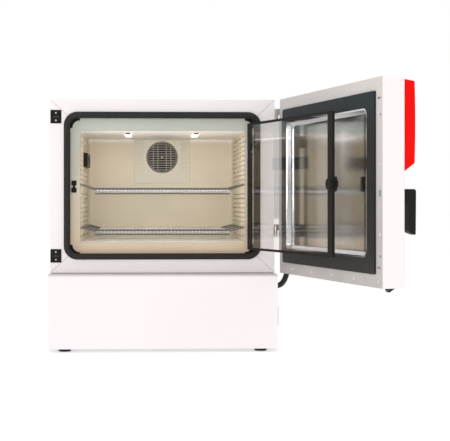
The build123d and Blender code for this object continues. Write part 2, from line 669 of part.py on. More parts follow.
def make_chamber():
    y = (STRIP_BACK, LINER_BACK + LINER_SHEET)
    shell = block(around(0, LINER_HALF + LINER_SHEET), y, grown(OPEN_Z, LINER_SHEET))
    shell -= block(around(0, LINER_HALF), (y[0] - 5, LINER_BACK), OPEN_Z)
    for x, z, r in ((SUCTION[0], PIPE_TOP, SUCTION_RADIUS), (LIQUID[0], LIQUID_TOP, LIQUID_RADIUS)):
        shell -= along_y(x, (LINER_BACK - 5, LINER_BACK + 5), z, r + PIPE_HOLE)
    save("liner", shell)

    duct_y = (STRIP_BACK, REAR_Y - CHAMBER_CORNER)
    slots = []
    rows = int((OPEN_Z[1] - OPEN_Z[0] - 2 * SLOT_PITCH) // SLOT_PITCH) + 1
    pitch = (duct_y[1] - duct_y[0]) / SLOT_COLUMNS
    for row in range(rows):
        z = OPEN_Z[0] + SLOT_PITCH + row * SLOT_PITCH
        for column in range(SLOT_COLUMNS):
            mid = duct_y[0] + (column + 0.5) * pitch
            slots.append(block(around(0, LINER_HALF + 5), around(mid, SLOT_LENGTH / 2), (z, z + SLOT_HEIGHT)))
    walls = [
        block(sorted((side * OPEN_HALF, side * (OPEN_HALF + LINER_SHEET))), duct_y, OPEN_Z) - slots
        for side in (-1, 1)
    ]
    save("side_ducts", *walls)

    corner = CHAMBER_CORNER
    inside = RectangleRounded(2 * OPEN_HALF, 2 * corner + 60, corner)
    outside = RectangleRounded(2 * (OPEN_HALF + LINER_SHEET), 2 * (corner + LINER_SHEET) + 60,
                               corner + LINER_SHEET)
    loop = Pos(0, REAR_Y - corner - 30, OPEN_Z[0]) * extrude(outside - inside, OPEN_Z[1] - OPEN_Z[0])
    rear = loop & block(around(0, HALF), (REAR_Y - corner, REAR_Y + 5), OPEN_Z)
    mouth = along_y(FAN_X, (REAR_Y - 5, REAR_Y + 5), FAN_Z, GRILLE_RADIUS - 1.5)
    intake = [
        block(around(side * (OPEN_HALF - 40), 12), (REAR_Y - 5, REAR_Y + 5), (z, z + 5))
        for side in (-1, 1)
        for z in [OPEN_Z[0] + 8 + 10 * i for i in range(2)]
    ]
    save("rear_panel", rear - mouth - intake)

    cover_z = (OPEN_Z[1] - 1 - COVER_HEIGHT, OPEN_Z[1] - 1)
    cover_y = (REAR_Y - COVER_PROUD, REAR_Y)
    cover = panel(around(FAN_X, COVER_WIDTH / 2), cover_z, cover_y, 4)
    cover = chamfer(cover.faces().sort_by(Axis.Y)[0].edges(), 1.0)
    cover -= block(around(FAN_X, COVER_WIDTH / 2 - 12), (REAR_Y - 1.4, REAR_Y + 5), grown(cover_z, -12))
    disc = along_y(FAN_X, grown(cover_y, 5), FAN_Z, GRILLE_RADIUS)
    ribs = [
        block(around(FAN_X + x, GRILLE_BRIDGE / 2), grown(cover_y, 9), grown(cover_z, 9))
        for x in (-33, -16, 16, 33)
    ]
    rows = int(GRILLE_RADIUS // GRILLE_PITCH)
    bars = [
        block(around(FAN_X, GRILLE_RADIUS + 2), grown(cover_y, 5), around(FAN_Z + i * GRILLE_PITCH, GRILLE_SLOT / 2))
        for i in range(-rows, rows + 1)
    ]
    grille = (joined(bars) & disc) - ribs
    side_slots = [
        block(around(FAN_X + sx * 82, 8), grown(cover_y, 5), around(FAN_Z + i * 13, 1.4))
        for sx in (-1, 1)
        for i in range(-4, 5)
    ]
    save("fan_cover", cover - grille - side_slots)

    wheel_y = (REAR_Y + 4, REAR_Y + 4 + FAN_DEPTH)
    motor_y = (wheel_y[1] + 2, LINER_BACK)
    motor = along_y(FAN_X, motor_y, FAN_Z, 30)
    shaft = along_y(FAN_X, (wheel_y[0] + 1, motor_y[0] + 1), FAN_Z, 3)
    save("fan_motor", joined([motor, shaft]))
    plate = along_y(FAN_X, (wheel_y[1] - 2, wheel_y[1]), FAN_Z, FAN_RADIUS)
    hub = along_y(FAN_X, wheel_y, FAN_Z, 12)
    rim = along_y(FAN_X, (wheel_y[0], wheel_y[0] + 2), FAN_Z, FAN_RADIUS)
    rim -= along_y(FAN_X, grown(wheel_y, 5), FAN_Z, FAN_RADIUS - 12)
    blades = []
    for i in range(16):
        blade = Pos(FAN_RADIUS - 7, 0, 0) * Rot(0, 35, 0) * Box(13, FAN_DEPTH, 1.5)
        blades.append(Pos(FAN_X, sum(wheel_y) / 2, FAN_Z) * Rot(0, 22.5 * i, 0) * blade)
    wheel = joined([plate, hub, rim, *blades]) & along_y(FAN_X, wheel_y, FAN_Z, FAN_RADIUS)
    save("fan_wheel", wheel - along_y(FAN_X, grown(wheel_y, 5), FAN_Z, 3 + PIN_CLEARANCE))

    ring_y = sum(wheel_y) / 2
    loop = Pos(FAN_X, ring_y, FAN_Z) * Rot(90, 0, 0) * Torus(HEATER_RING, HEATER_ROD)
    gap = block(around(FAN_X, 12), around(ring_y, 9), (FAN_Z - HEATER_RING - 9, FAN_Z))
    terminals = [
        block(around(FAN_X + side * 14, 4), around(ring_y, 5), around(FAN_Z - HEATER_RING * 0.97, 8))
        for side in (-1, 1)
    ]
    save("heater", joined([loop - gap, *terminals]))

    core = []
    for i in range(int((EVAPORATOR_X[1] - EVAPORATOR_X[0]) // 10) + 1):
        x = EVAPORATOR_X[0] + i * 10
        core.append(block((x, x + 1), EVAPORATOR_Y, EVAPORATOR_Z))
    mid = sum(EVAPORATOR_Y) / 2
    for z in [EVAPORATOR_Z[0] + 16 + 32 * i for i in range(6)]:
        core.append(rod((EVAPORATOR_X[0] - 8, mid, z), (EVAPORATOR_X[1] + 8, mid, z), 4.5))
    for x in (EVAPORATOR_X[0] - 8, EVAPORATOR_X[1] + 8):
        core.append(block(around(x, 2), EVAPORATOR_Y, EVAPORATOR_Z))
    bracket_z = (EVAPORATOR_Z[0] + 5, EVAPORATOR_Z[0] + 25)
    for x in (EVAPORATOR_X[0] + 20, EVAPORATOR_X[1] - 60):
        core.append(block((x, x + 40), (EVAPORATOR_Y[1] - 1, LINER_BACK), bracket_z))
    for x, z, r in ((SUCTION[0], PIPE_TOP, SUCTION_RADIUS + 3), (LIQUID[0], LIQUID_TOP, LIQUID_RADIUS + 3)):
        core.append(along_y(x, (EVAPORATOR_Y[1] - 6, EVAPORATOR_Y[1]), z, r))
    save("evaporator", joined(core))

    x0 = -OPEN_HALF
    probe_y = (FLANGE_Y + PROBE_FROM_FRONT, FLANGE_Y + PROBE_FROM_FRONT + PROBE[1])
    probe_z = (OPEN_Z[1] - PROBE_BELOW_CEILING - PROBE[2], OPEN_Z[1] - PROBE_BELOW_CEILING)
    probe = block((x0, x0 + PROBE[0]), probe_y, probe_z)
    probe = fillet(probe.edges().group_by(Axis.X)[-1], 2.0)
    holes = [
        block((x0 + 4, x0 + PROBE[0] + 1), (y, y + 4), grown(probe_z, -12))
        for y in [probe_y[0] + 20 + 12 * i for i in range(int((PROBE[1] - 40) // 12))]
    ]
    save("probe_housing", probe - holes)

    y0 = FLANGE_Y + LAMP_FROM_FRONT
    lamps = [
        block(around(side * LAMP_X, LAMP[0] / 2), (y0, y0 + LAMP[1]), (OPEN_Z[1] - LAMP[2], OPEN_Z[1]))
        for side in (-1, 1)
    ]
    save("chamber_lamps", *[chamfer(lamp.edges().group_by(Axis.Z)[0], 0.8) for lamp in lamps])


# ---- racks --------------------------------------------------------------------------
def make_rack(name):
    rail_z = RAIL_HEIGHTS[name]
    wire_z = rail_z - RACK_DROP[name]
    bar_z = wire_z - WIRE_ROD - BAR_ROD + 0.5
    rail_x = OPEN_HALF - RACK_WALL_GAP - RAIL_ROD
    bed_x = OPEN_HALF - RACK_BED_INSET
    y = (FLANGE_Y + RACK_FRONT_GAP, REAR_Y - RACK_REAR_GAP)
    pieces = [rod((s * rail_x, y[0], rail_z), (s * rail_x, y[1], rail_z), RAIL_ROD) for s in (-1, 1)]
    for place in [y[0] + 6, y[0] + (y[1] - y[0]) / 3, y[0] + 2 * (y[1] - y[0]) / 3, y[1] - 6]:
        pieces.append(rod((-bed_x, place, bar_z), (bed_x, place, bar_z), BAR_ROD))
        for s in (-1, 1):
            pieces.append(rod((s * rail_x, place, rail_z), (s * bed_x, place, bar_z), BAR_ROD))
            pieces.append(Pos(s * bed_x, place, bar_z) * Sphere(BAR_ROD))
    lip_z = wire_z - RACK_LIP[name]
    front_y = y[0] - WIRE_ROD
    pieces.append(rod((-bed_x, front_y, lip_z), (bed_x, front_y, lip_z), BAR_ROD))
    pieces.append(rod((-bed_x, front_y, wire_z), (bed_x, front_y, wire_z), BAR_ROD))
    count = int(2 * (bed_x - BAR_ROD) // WIRE_PITCH)
    for i in range(count + 1):
        x = (i - count / 2) * WIRE_PITCH
        pieces.append(rod((x, front_y, wire_z), (x, y[1], wire_z), WIRE_ROD))
        pieces.append(rod((x, front_y, lip_z), (x, front_y, wire_z), WIRE_ROD))
    save(name, joined(pieces))


def make_runners():
    ledges = []
    for rail_z in RAIL_HEIGHTS.values():
        top = rail_z - RAIL_ROD - RUNNER_PLAY
        for s in (-1, 1):
            wall = s * OPEN_HALF
            lip = s * (OPEN_HALF - RACK_WALL_GAP - RAIL_ROD - 1.0)
            y = (FLANGE_Y + RACK_FRONT_GAP + 4, REAR_Y - RACK_REAR_GAP + RUNNER_PLAY)
            ledge = block(sorted((wall, lip)), y, (top - RUNNER_SHEET, top))
            web = block(sorted((wall, wall - s * RUNNER_SHEET)), y, (top - 14, top - RUNNER_SHEET))
            stop = block(sorted((wall, lip)), (y[1], REAR_Y - CHAMBER_CORNER), (top - RUNNER_SHEET, top + 12))
            ledges.append(joined([ledge, web, stop]))
    save("rack_runners", *ledges)


# ---- hinges and glass door ----------------------------------------------------------
def make_main_hinges():
    px, py = DOOR_PIVOT
    fixed, moving = [], []
    for z in HINGE_Z:
        low, mid, high = z - KNUCKLE_HEIGHT / 2, z, z + KNUCKLE_HEIGHT / 2
        pin = upright(px, py, (low, high), PIN_RADIUS)
        knuckle = upright(px, py, (low, mid - 0.2), KNUCKLE_RADIUS)
        arm = block((HALF, HALF + LEAF[0]), (py, FRONT), (low, mid - 0.2))
        leaf = block((HALF, HALF + LEAF[0]), (FRONT, FRONT + LEAF[1]), (low, high))
        fixed.append(joined([knuckle, arm, leaf, pin]))
        bore = upright(px, py, (mid - 5, high + 5), PIN_RADIUS + PIN_CLEARANCE)
        knuckle = upright(px, py, (mid + 0.2, high), KNUCKLE_RADIUS)
        arm = block((HALF, HALF + LEAF[0]), (DOOR_IN, py), (mid + 0.2, high))
        leaf = block((HALF, HALF + LEAF[0]), (DOOR_IN - LEAF[1], DOOR_IN), (low, high))
        moving.append(joined([knuckle, arm, leaf]) - bore)
    save("cabinet_hinges", *fixed)
    save_door("door_hinges", *moving)


def make_glass_door():
    px, py = GLASS_PIVOT
    hardware, barrels = [], []
    for z in GLASS_HINGE_Z:
        low, high = z - BLOCK_HEIGHT / 2, z + BLOCK_HEIGHT / 2
        lugs = []
        for span in ((low, low + LUG_HEIGHT), (high - LUG_HEIGHT, high)):
            lugs.append(upright(px, py, span, LUG_RADIUS))
            lugs.append(block((px, px + LUG_WIDTH), (py - LUG_RADIUS, FLANGE_Y), span))
        back = block((px, px + LUG_WIDTH), (FLANGE_Y - 4, FLANGE_Y), (low, high))
        hardware.append(joined([*lugs, back, upright(px, py, (low, high), GLASS_PIN)]))
        middle = (low + LUG_HEIGHT + BARREL_PLAY, high - LUG_HEIGHT - BARREL_PLAY)
        arm = block((GLASS_X[1] - 16, px), (GLASS_OUT - 3, GLASS_OUT), middle)
        bore = upright(px, py, grown(middle, 5), GLASS_PIN + PIN_CLEARANCE)
        barrels.append(joined([upright(px, py, middle, BARREL_RADIUS), arm]) - bore)
    keeper_x = (GLASS_X[0] - 7, GLASS_X[0] - 7 + KEEPER[0])
    keeper = panel(keeper_x, around(KNOB[1], KEEPER[1] / 2), (FLANGE_Y - KEEPER[2], FLANGE_Y), 3)
    for x in keeper_x:
        keeper -= along_y(x, (FLANGE_Y - 9, FLANGE_Y + 9), KNOB[1], 5)
    save("glass_door_fittings", *hardware, keeper)

    y = (GLASS_OUT, GLASS_IN)
    opening = ((GLASS_X[0] + STILE, GLASS_X[1] - STILE), grown(GLASS_Z, -EDGING))
    frame = panel(GLASS_X, GLASS_Z, y, 3) - block(opening[0], grown(y, 5), opening[1])
    frame -= along_y(KNOB[0], grown(y, 5), KNOB[1], 5 + PIN_CLEARANCE)
    save_glass("glass_frame", joined([frame, *barrels]))
    middle = sum(y) / 2
    save_glass("glass_pane", block(opening[0], around(middle, PANE / 2), opening[1]))

    shaft = along_y(KNOB[0], grown(y, 1.0), KNOB[1], 5)
    inner = along_y(KNOB[0], (GLASS_IN + KNOB_PLAY, GLASS_IN + KNOB_PLAY + KNOB_INNER_PROUD),
                    KNOB[1], KNOB_INNER_RADIUS)
    outer = along_y(KNOB[0], (GLASS_OUT - KNOB_PROUD, GLASS_OUT - KNOB_PLAY), KNOB[1], KNOB_RADIUS)
    outer = fillet(outer.edges().group_by(Axis.Y)[0], 2.5)
    thumb = [
        block(
            sorted((KNOB[0] + s * 5, KNOB[0] + s * 30)), (GLASS_OUT - KNOB_PROUD - 5, GLASS_OUT - 8),
            around(KNOB[1], 30),
        )
        for s in (-1, 1)
    ]
    save_glass("glass_knob", joined([shaft, inner, outer - thumb]))


# ---- main door ----------------------------------------------------------------------
LATCH_BAR_Y = (DOOR_OUT + 8.0, DOOR_OUT + 14.0)
GUIDE_HOLE = 3.5
GUIDE_INSET = 10.0


def tongue(z, grow=0.0):
    return block(
        around(LATCH_X, LATCH_TONGUE[0] / 2 + grow), (LATCH_BAR_Y[0], DOOR_IN - 1.0), around(z, LATCH_TONGUE[1] / 2 + grow)
    )


def border_screws():
    """Screw places on the inner border: along the top and bottom, and up both sides."""
    inset = DOOR_BORDER / 2
    along = [-HALF + 20 + 0.2054 * WIDTH * i for i in range(5)]
    places = [(x, z) for x in along for z in (DOOR_Z[0] + inset, DOOR_Z[1] - inset)]
    return places + [(side * (HALF - 10), z) for side in (-1, 1) for z in (DOOR_Z[0] + 145, TOP - 234.6)]


def make_door():
    x, z = (-HALF, HALF), DOOR_Z
    shell = block(x, (DOOR_OUT, DOOR_IN - SHEET), z)
    shell = fillet(shell.faces().sort_by(Axis.Y)[0].edges(), 4.0)
    hollow = block(grown(x, -SHEET), (DOOR_OUT + SHEET, DOOR_IN), grown(z, -SHEET))
    handle_hole = along_y(HANDLE_X, (DOOR_OUT - 5, DOOR_OUT + 5), HANDLE_Z, HANDLE_SHAFT + PIN_CLEARANCE)
    hose_hole = rod((HALF - 5, HOSE_DOOR_Y, HOSE_DOOR_Z), (HALF + 5, HOSE_DOOR_Y, HOSE_DOOR_Z), GLAND_BORE)
    save_door("door_shell", shell - hollow - handle_hole - hose_hole)

    channel = block(
        around(LATCH_X, LATCH_TONGUE[0] / 2 + 4), (DOOR_OUT + SHEET, DOOR_IN),
        (STRIKE_Z[0] - 14, STRIKE_Z[1] + 14),
    )
    pocket = block((LATCH_X, HANDLE_X + 12), (DOOR_OUT + SHEET, DOOR_OUT + 30), around(HANDLE_Z, 20))
    hose_pocket = block((HALF - 45, HALF), around(HOSE_DOOR_Y, 16), around(HOSE_DOOR_Z, 16))
    foam = block(grown(x, -SHEET), (DOOR_OUT + SHEET, DOOR_IN - SHEET), grown(z, -SHEET))
    plate_x, plate_z = grown(x, -PLATE_MARGIN), grown(z, -PLATE_MARGIN)
    mouth_x, mouth_z = grown(plate_x, -PLATE_RIM), grown(plate_z, -PLATE_RIM)
    depth = PLATE_DISH + PLATE_THICKNESS
    dished = dish(mouth_x, mouth_z, PANEL_FACE, depth, PLATE_CORNER - PLATE_RIM)
    room = dish(mouth_x, mouth_z, PANEL_FACE, depth, PLATE_CORNER - PLATE_RIM)
    room = Pos(0, -FOAM_CLEARANCE, 0) * room
    save_door("door_foam", foam - channel - pocket - hose_pocket - room)

    border = block(x, (DOOR_IN - SHEET, DOOR_IN), z)
    border -= block(grown(x, -DOOR_BORDER), (DOOR_IN - 5, DOOR_IN + 5), grown(z, -DOOR_BORDER))
    cuts = [
        block(around(LATCH_X, LATCH_TONGUE[0] / 2 + LATCH_PLAY), (DOOR_IN - 5, DOOR_IN + 5),
              around(sz, LATCH_TONGUE[1] / 2 + LATCH_PLAY))
        for sz in STRIKE_Z
    ]
    for gz in (DOOR_Z[0] + 87, TOP - 102.6):
        cuts.append(along_y(-HALF + GUIDE_INSET, (DOOR_IN - 5, DOOR_IN + 5), gz, GUIDE_HOLE))
    save_door("door_border", border - cuts)

    panel_x, panel_z = grown(x, -DOOR_BORDER), grown(z, -DOOR_BORDER)
    mouth = PLATE_CORNER - PLATE_RIM
    panel_width = PLATE_MARGIN + PLATE_RIM - DOOR_BORDER
    dark = ring(panel_x, panel_z, (DOOR_IN - SHEET, PANEL_FACE), panel_width, 8, mouth)
    save_door("door_panel", dark)

    rim = ring(
        plate_x, plate_z, (PANEL_FACE, PANEL_FACE + PLATE_THICKNESS),
        PLATE_RIM + PLATE_THICKNESS, PLATE_CORNER, mouth - PLATE_THICKNESS,
    )
    hollow = dish(mouth_x, mouth_z, PANEL_FACE + PLATE_THICKNESS, PLATE_DISH + PLATE_THICKNESS, mouth)
    save_door("door_plate", joined([dished - hollow, rim]))

    screws = [screw((sx, DOOR_IN, sz), (0, 1, 0)) for sx, sz in border_screws()]
    stud_z = TOP - 314.6
    stud = panel(around(-HALF + 10, 3), around(stud_z, 9), (DOOR_IN, DOOR_IN + 4), 2.5)
    save_door("door_screws", *screws, stud)

    wedge = Polyline(
        (DOOR_IN - 20, z[0]), (DOOR_IN - 20 - BUMPER[1], z[0]), (DOOR_IN - 26, z[0] - BUMPER[2]), close=True
    )
    bumper = extrude(Plane.YZ * make_face(wedge), BUMPER[0])
    save_door("door_bumper", Pos(-HALF + 8, 0, 0) * bumper)


def make_handle():
    x, z = HANDLE_X, HANDLE_Z
    mount = panel(around(x, HANDLE_WIDTH / 2), around(z, HANDLE_HEAD / 2), (DOOR_OUT - HANDLE_GAP, DOOR_OUT), 4)
    mount -= along_y(x, (DOOR_OUT - 50, DOOR_OUT + 5), z, HANDLE_SHAFT + PIN_CLEARANCE)
    save_door("handle_mount", mount)

    top, low = z + HANDLE_HEAD / 2, z + HANDLE_HEAD / 2 - HANDLE_LENGTH
    near, far = DOOR_OUT - HANDLE_GAP - KNOB_PLAY, DOOR_OUT - HANDLE_PROUD
    side = Polyline(
        (near, top), (near, low + 12), (near - 4, low + 6), (far + 6, low), (far + 1, low + 4), (far, top),
        close=True,
    )
    lever = extrude(Plane.YZ * make_face(side), HANDLE_WIDTH)
    lever = Pos(x - HANDLE_WIDTH / 2, 0, 0) * lever
    lever = fillet(lever.edges().filter_by(Axis.X).sort_by(lambda e: e.center().Z - e.center().Y)[-1], 7)
    face = lever.faces().sort_by(Axis.Y)[0]
    lever = fillet([e for e in face.edges() if abs(e.tangent_at(0.5).X) < 0.5], 4)
    shaft = along_y(x, (near - 1, DOOR_OUT + 24), z, HANDLE_SHAFT)
    save_door("handle_lever", joined([lever, shaft]))

    bar = block(
        around(LATCH_X, LATCH_TONGUE[0] / 2), LATCH_BAR_Y, (STRIKE_Z[0] - 8, STRIKE_Z[1] + 8)
    )
    pieces = joined([bar, *[tongue(sz) for sz in STRIKE_Z]])
    save_door("latch_bar", pieces)


def make_controls():
    z0, z1 = CONTROL_Z
    face, out = DOOR_OUT, DOOR_OUT - CONTROL_PROUD
    bulge = ThreePointArc((out + 1, z1 - 5), (out - 1, (z0 + z1) / 2), (out + 1, z0 + CONTROL_CHAMFER))
    profile = bulge + Polyline((out + 1, z0 + CONTROL_CHAMFER), (face, z0), (face, z1), (out + 1, z1 - 5))
    x = around(0, HALF - CONTROL_SIDE_GAP)
    body = Pos(x[0], 0, 0) * extrude(Plane.YZ * make_face(profile), x[1] - x[0])
    wall = CONTROL_WALL
    inner = Polyline(
        (out + 1 + wall, z1 - 5 - wall), (out + 1 + wall, z0 + CONTROL_CHAMFER + wall / 2),
        (face, z0 + wall * 2.4), (face, z1 - wall), close=True,
    )
    cavity = Pos(x[0] + wall, 0, 0) * extrude(Plane.YZ * make_face(inner), x[1] - x[0] - 2 * wall)
    display_z = (z1 - 40 - DISPLAY[1], z1 - 40)
    display = block(around(0, DISPLAY[0] / 2), (out - 1.5, out - 1.5 + DISPLAY[2] + 1), display_z)
    body = body - cavity - display
    back = block(around(0, DISPLAY[0] / 2 + 6), (display_y_back(out), display_y_back(out) + 2), grown(display_z, 6))
    body = joined([body, back])
    row = z0 + CONTROL_CHAMFER + KEY_ROW
    keys = {"key_set": -KEY_PITCH, "key_up": 0.0, "key_down": KEY_PITCH}
    for name, kx in keys.items():
        body -= along_y(kx, (out - 5, out + 12), row, KEY_RADIUS + KEY_PLAY)
        inside = out + 1 + wall + KEY_PLAY
        cap = along_y(kx, (out - KEY_PROUD - 1, inside), row, KEY_RADIUS)
        collar = along_y(kx, (inside, inside + 1.5), row, KEY_RADIUS + 2)
        save_door(name, joined([cap, collar]))
    save_door("control_housing", body)
    glass = block(around(0, DISPLAY[0] / 2), (out - 1.5, display_y_back(out)), display_z)
    save_door("display_panel", glass)


def display_y_back(out):
    return out - 1.5 + DISPLAY[2] + 1


def make_hose():
    reach = (HALF + HOSE_REACH, HALF + HOSE_REACH - 10, HALF + HOSE_REACH - 28)
    corners = [
        Vector(x, HOSE_BEND.Y + step, BASE_TOP - drop)
        for x, step, drop in zip(reach, HOSE_STEPS, HOSE_DROPS)
    ]
    inside = Vector(HALF - GLAND_REACH, HOSE_END[1], HOSE_END[2])
    points = [HOSE_START - OUTWARD * GLAND_REACH, HOSE_BEND, *corners, inside]
    radii = []
    for a, b, c in zip(points, points[1:], points[2:]):
        turn = radians((b - a).get_angle(c - b))
        radii.append(0.45 * min((b - a).length, (c - b).length) / tan(turn / 2))
    print("hose bends, mm:", [round(r, 1) for r in radii])
    hose = tube(points, radii, HOSE_RADIUS)
    path = FilletPolyline(*points, radius=radii)
    print("hose length, mm:", round(path.length, 1), "volume / section:",
          round(hose.volume / (pi * HOSE_RADIUS**2), 1))
    save("hose", hose)

    def gland(at, out):
        plane = Plane(at, z_dir=out)
        flange = plane * Cylinder(GLAND[0] + 3, GLAND[1], align=(Align.CENTER, Align.CENTER, Align.MIN))
        barrel = Plane(at - out * 8, z_dir=out) * Cylinder(
            GLAND_BORE, 8, align=(Align.CENTER, Align.CENTER, Align.MIN)
        )
        bore = Plane(at - out * 20, z_dir=out) * Cylinder(
            HOSE_RADIUS + GLAND_FIT, 60, align=(Align.CENTER, Align.CENTER, Align.MIN)
        )
        return joined([flange, barrel]) - bore

    save("door_gland", gland(HOSE_START, OUTWARD))
    save("base_gland", gland(Vector(*HOSE_END), Vector(1, 0, 0)))


make_base()
make_inlet()
make_refrigeration()
make_casing()
make_front()
make_chamber()
make_rack("rack_upper")
make_rack("rack_lower")
make_runners()
make_main_hinges()
make_glass_door()
make_door()
make_handle()
make_controls()
make_hose()
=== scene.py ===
"""Looks of a laboratory incubator: finishes, racks, screws, hose, readout and stage."""

import json
from math import cos, pi, radians, sin, tan

import bmesh
import bpy
from bpy.props import FloatProperty, FloatVectorProperty, IntProperty, PointerProperty
from mathutils import Matrix, Vector


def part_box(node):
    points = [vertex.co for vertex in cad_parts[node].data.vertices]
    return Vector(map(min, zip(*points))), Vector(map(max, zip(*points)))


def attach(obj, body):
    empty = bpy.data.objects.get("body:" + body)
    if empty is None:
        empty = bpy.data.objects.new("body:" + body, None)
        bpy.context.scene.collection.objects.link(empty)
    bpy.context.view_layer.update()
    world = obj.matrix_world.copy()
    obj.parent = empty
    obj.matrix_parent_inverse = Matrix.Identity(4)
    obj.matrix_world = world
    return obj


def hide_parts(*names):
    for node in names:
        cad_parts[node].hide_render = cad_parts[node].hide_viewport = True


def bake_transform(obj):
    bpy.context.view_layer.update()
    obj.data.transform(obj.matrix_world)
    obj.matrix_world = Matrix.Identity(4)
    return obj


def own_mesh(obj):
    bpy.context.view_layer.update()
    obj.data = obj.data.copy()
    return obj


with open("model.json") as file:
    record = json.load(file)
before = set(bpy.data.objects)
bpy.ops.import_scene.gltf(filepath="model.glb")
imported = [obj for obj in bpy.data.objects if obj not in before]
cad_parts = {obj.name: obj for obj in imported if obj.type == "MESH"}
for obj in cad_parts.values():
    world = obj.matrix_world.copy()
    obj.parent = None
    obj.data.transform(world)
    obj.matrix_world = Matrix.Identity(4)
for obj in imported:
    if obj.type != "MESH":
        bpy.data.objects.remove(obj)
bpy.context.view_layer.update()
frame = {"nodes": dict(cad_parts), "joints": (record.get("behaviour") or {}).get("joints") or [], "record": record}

bl_info = {
    "name": "Laboratory incubator looks",
    "version": (1, 0, 0),
    "blender": (4, 5, 0),
    "location": "View3D > Sidebar > Incubator",
    "description": "Finishes and fine pieces of a laboratory incubator with two doors",
    "category": "Object",
}


def joint_named(name):
    return next(j for j in frame["joints"] if j["name"] == name)


SEED = 7  # of the turn of each screw head about its own axis
WELD = 0.00002  # split corners this near each other are joined
PROUD = 0.0002  # marks stand this far out of their face
MARK_THICKNESS = 0.0005

DOOR_PIVOT = tuple(joint_named("door_swing")["pos_m"][:2])
DOOR_REST = 105.0  # degrees that the door stands open in the frame
# The way that the door's inner side faces, along which its latch bar slides
DOOR_INWARD = next(j for j in frame["record"]["behaviour"]["joints"]
                   if j["name"] == "latch_slide")["axis"]

HEAD_SHARE = 2.2 / 7.2  # a screw head's height over its width
CABINET_HEAD = 0.72  # a cabinet screw's head radius over a door screw's
STUD_HEIGHT = 0.010  # anything taller in door_screws is a stud
BUMPER_ROUND = 0.0008

GRILLE_RIM = (0.0600, 0.0615)  # radii between which the grille's painted shadow ends
PANEL_FADE = 0.72  # share of the door panel's height where its cooler tone starts
FLOOR_FADE = (0.0008, 0.003)  # above the chamber's floor, where the wall's tone takes over
ROOF_FADE = (0.016, 0.002)  # below the lamps' top, where the ceiling's tone takes over

RACK_DROPS = (0.012, 0.0075)  # beds below their rails, upper and lower
BED_MARGIN = 0.002  # bars are bright this far inside the bed's sides; outside it they carry painted shade
FIRST_BAR, LAST_BAR = 0.008, 0.006  # cross bars from the bed's front and back edges
RAIL_START = 0.004  # rails from the bed's front edge
RACK_BEND = 0.007  # radius of a bent bar
DARK_FRONT = 0.006  # bars this near the bed's front edge carry painted shade, those behind are bright

LOUVRE_HEIGHT, LOUVRE_DEPTH = 0.0030, 0.0024
CLIP_DEPTH, CLIP_HEIGHT = 0.010, 0.004
CLIP_SHARE = 0.84  # a clip's width over its lamp's
CLIP_AHEAD, CLIP_DROP = 0.009, 0.0022  # a clip's middle from its lamp's front and top
CLIP_ROUND = 0.0008

DIGIT_HEIGHT, DIGIT_WIDTH, DIGIT_STROKE, DIGIT_GAP = 0.046, 0.025, 0.0045, 0.016
DIGITS_ASIDE = 0.004  # of the display's middle
DOT_HALF = 0.0025
MARK_SHARE = 0.22  # a mark's radius over its key's height
SEGMENTS = {"3": "abcdg", "7": "abc", "0": "abcdef"}

# The hose's corners, from inside the door's gland to inside the base's
HOSE_ROUTE = (
    (0.42821, -0.30041, 0.27780),
    (0.41838, -0.26371, 0.27780),
    (0.41600, -0.24971, 0.24980),
    (0.40600, -0.23971, 0.21780),
    (0.38800, -0.23571, 0.20280),
    (0.35600, -0.23571, 0.20280),
)

CAMERA_PLACE = (-0.051, -4.044, 0.483)
VIEW_SIDE = 3.904  # degrees from the cabinet's own axis to the middle of the view
VIEW_YAW = 2.0  # degrees that the camera turns; the lens's shift gives the rest
LENS_RISE = -0.0398  # the lens's upward shift, in sensor widths
SENSOR_WIDTH = 36.0  # millimetres
FLOOR_REACH = 30.0
FLOOR_GLOW = 0.45  # the floor's own light, which keeps it as white as the surround
WHITE = (1, 1, 1, 1)
LIGHT_AIM = Vector((0, 0, 0.5))
FRONT_PLACE, FRONT_SIZE = Vector((-0.35, -4.3, 0.95)), 1.1
SIDE_PLACE, SIDE_SIZE = Vector((-2.6, -1.8, 1.4)), 1.4
MOUTH_SHARE = (0.85, 0.75)  # the mouth light's width and height over the mouth's
MOUTH_DEPTH = 0.02  # of the mouth light behind the mouth's front edge
MOUTH_COLOUR = (1.0, 0.97, 0.93)


# ---- settings --------------------------------------------------------------------------


def colour(name, about, value):
    return FloatVectorProperty(
        name=name, description=about, default=value, size=3, min=0, max=1, subtype="COLOR"
    )


def length(name, about, value):
    return FloatProperty(name=name, description=about, default=value, unit="LENGTH", precision=5)


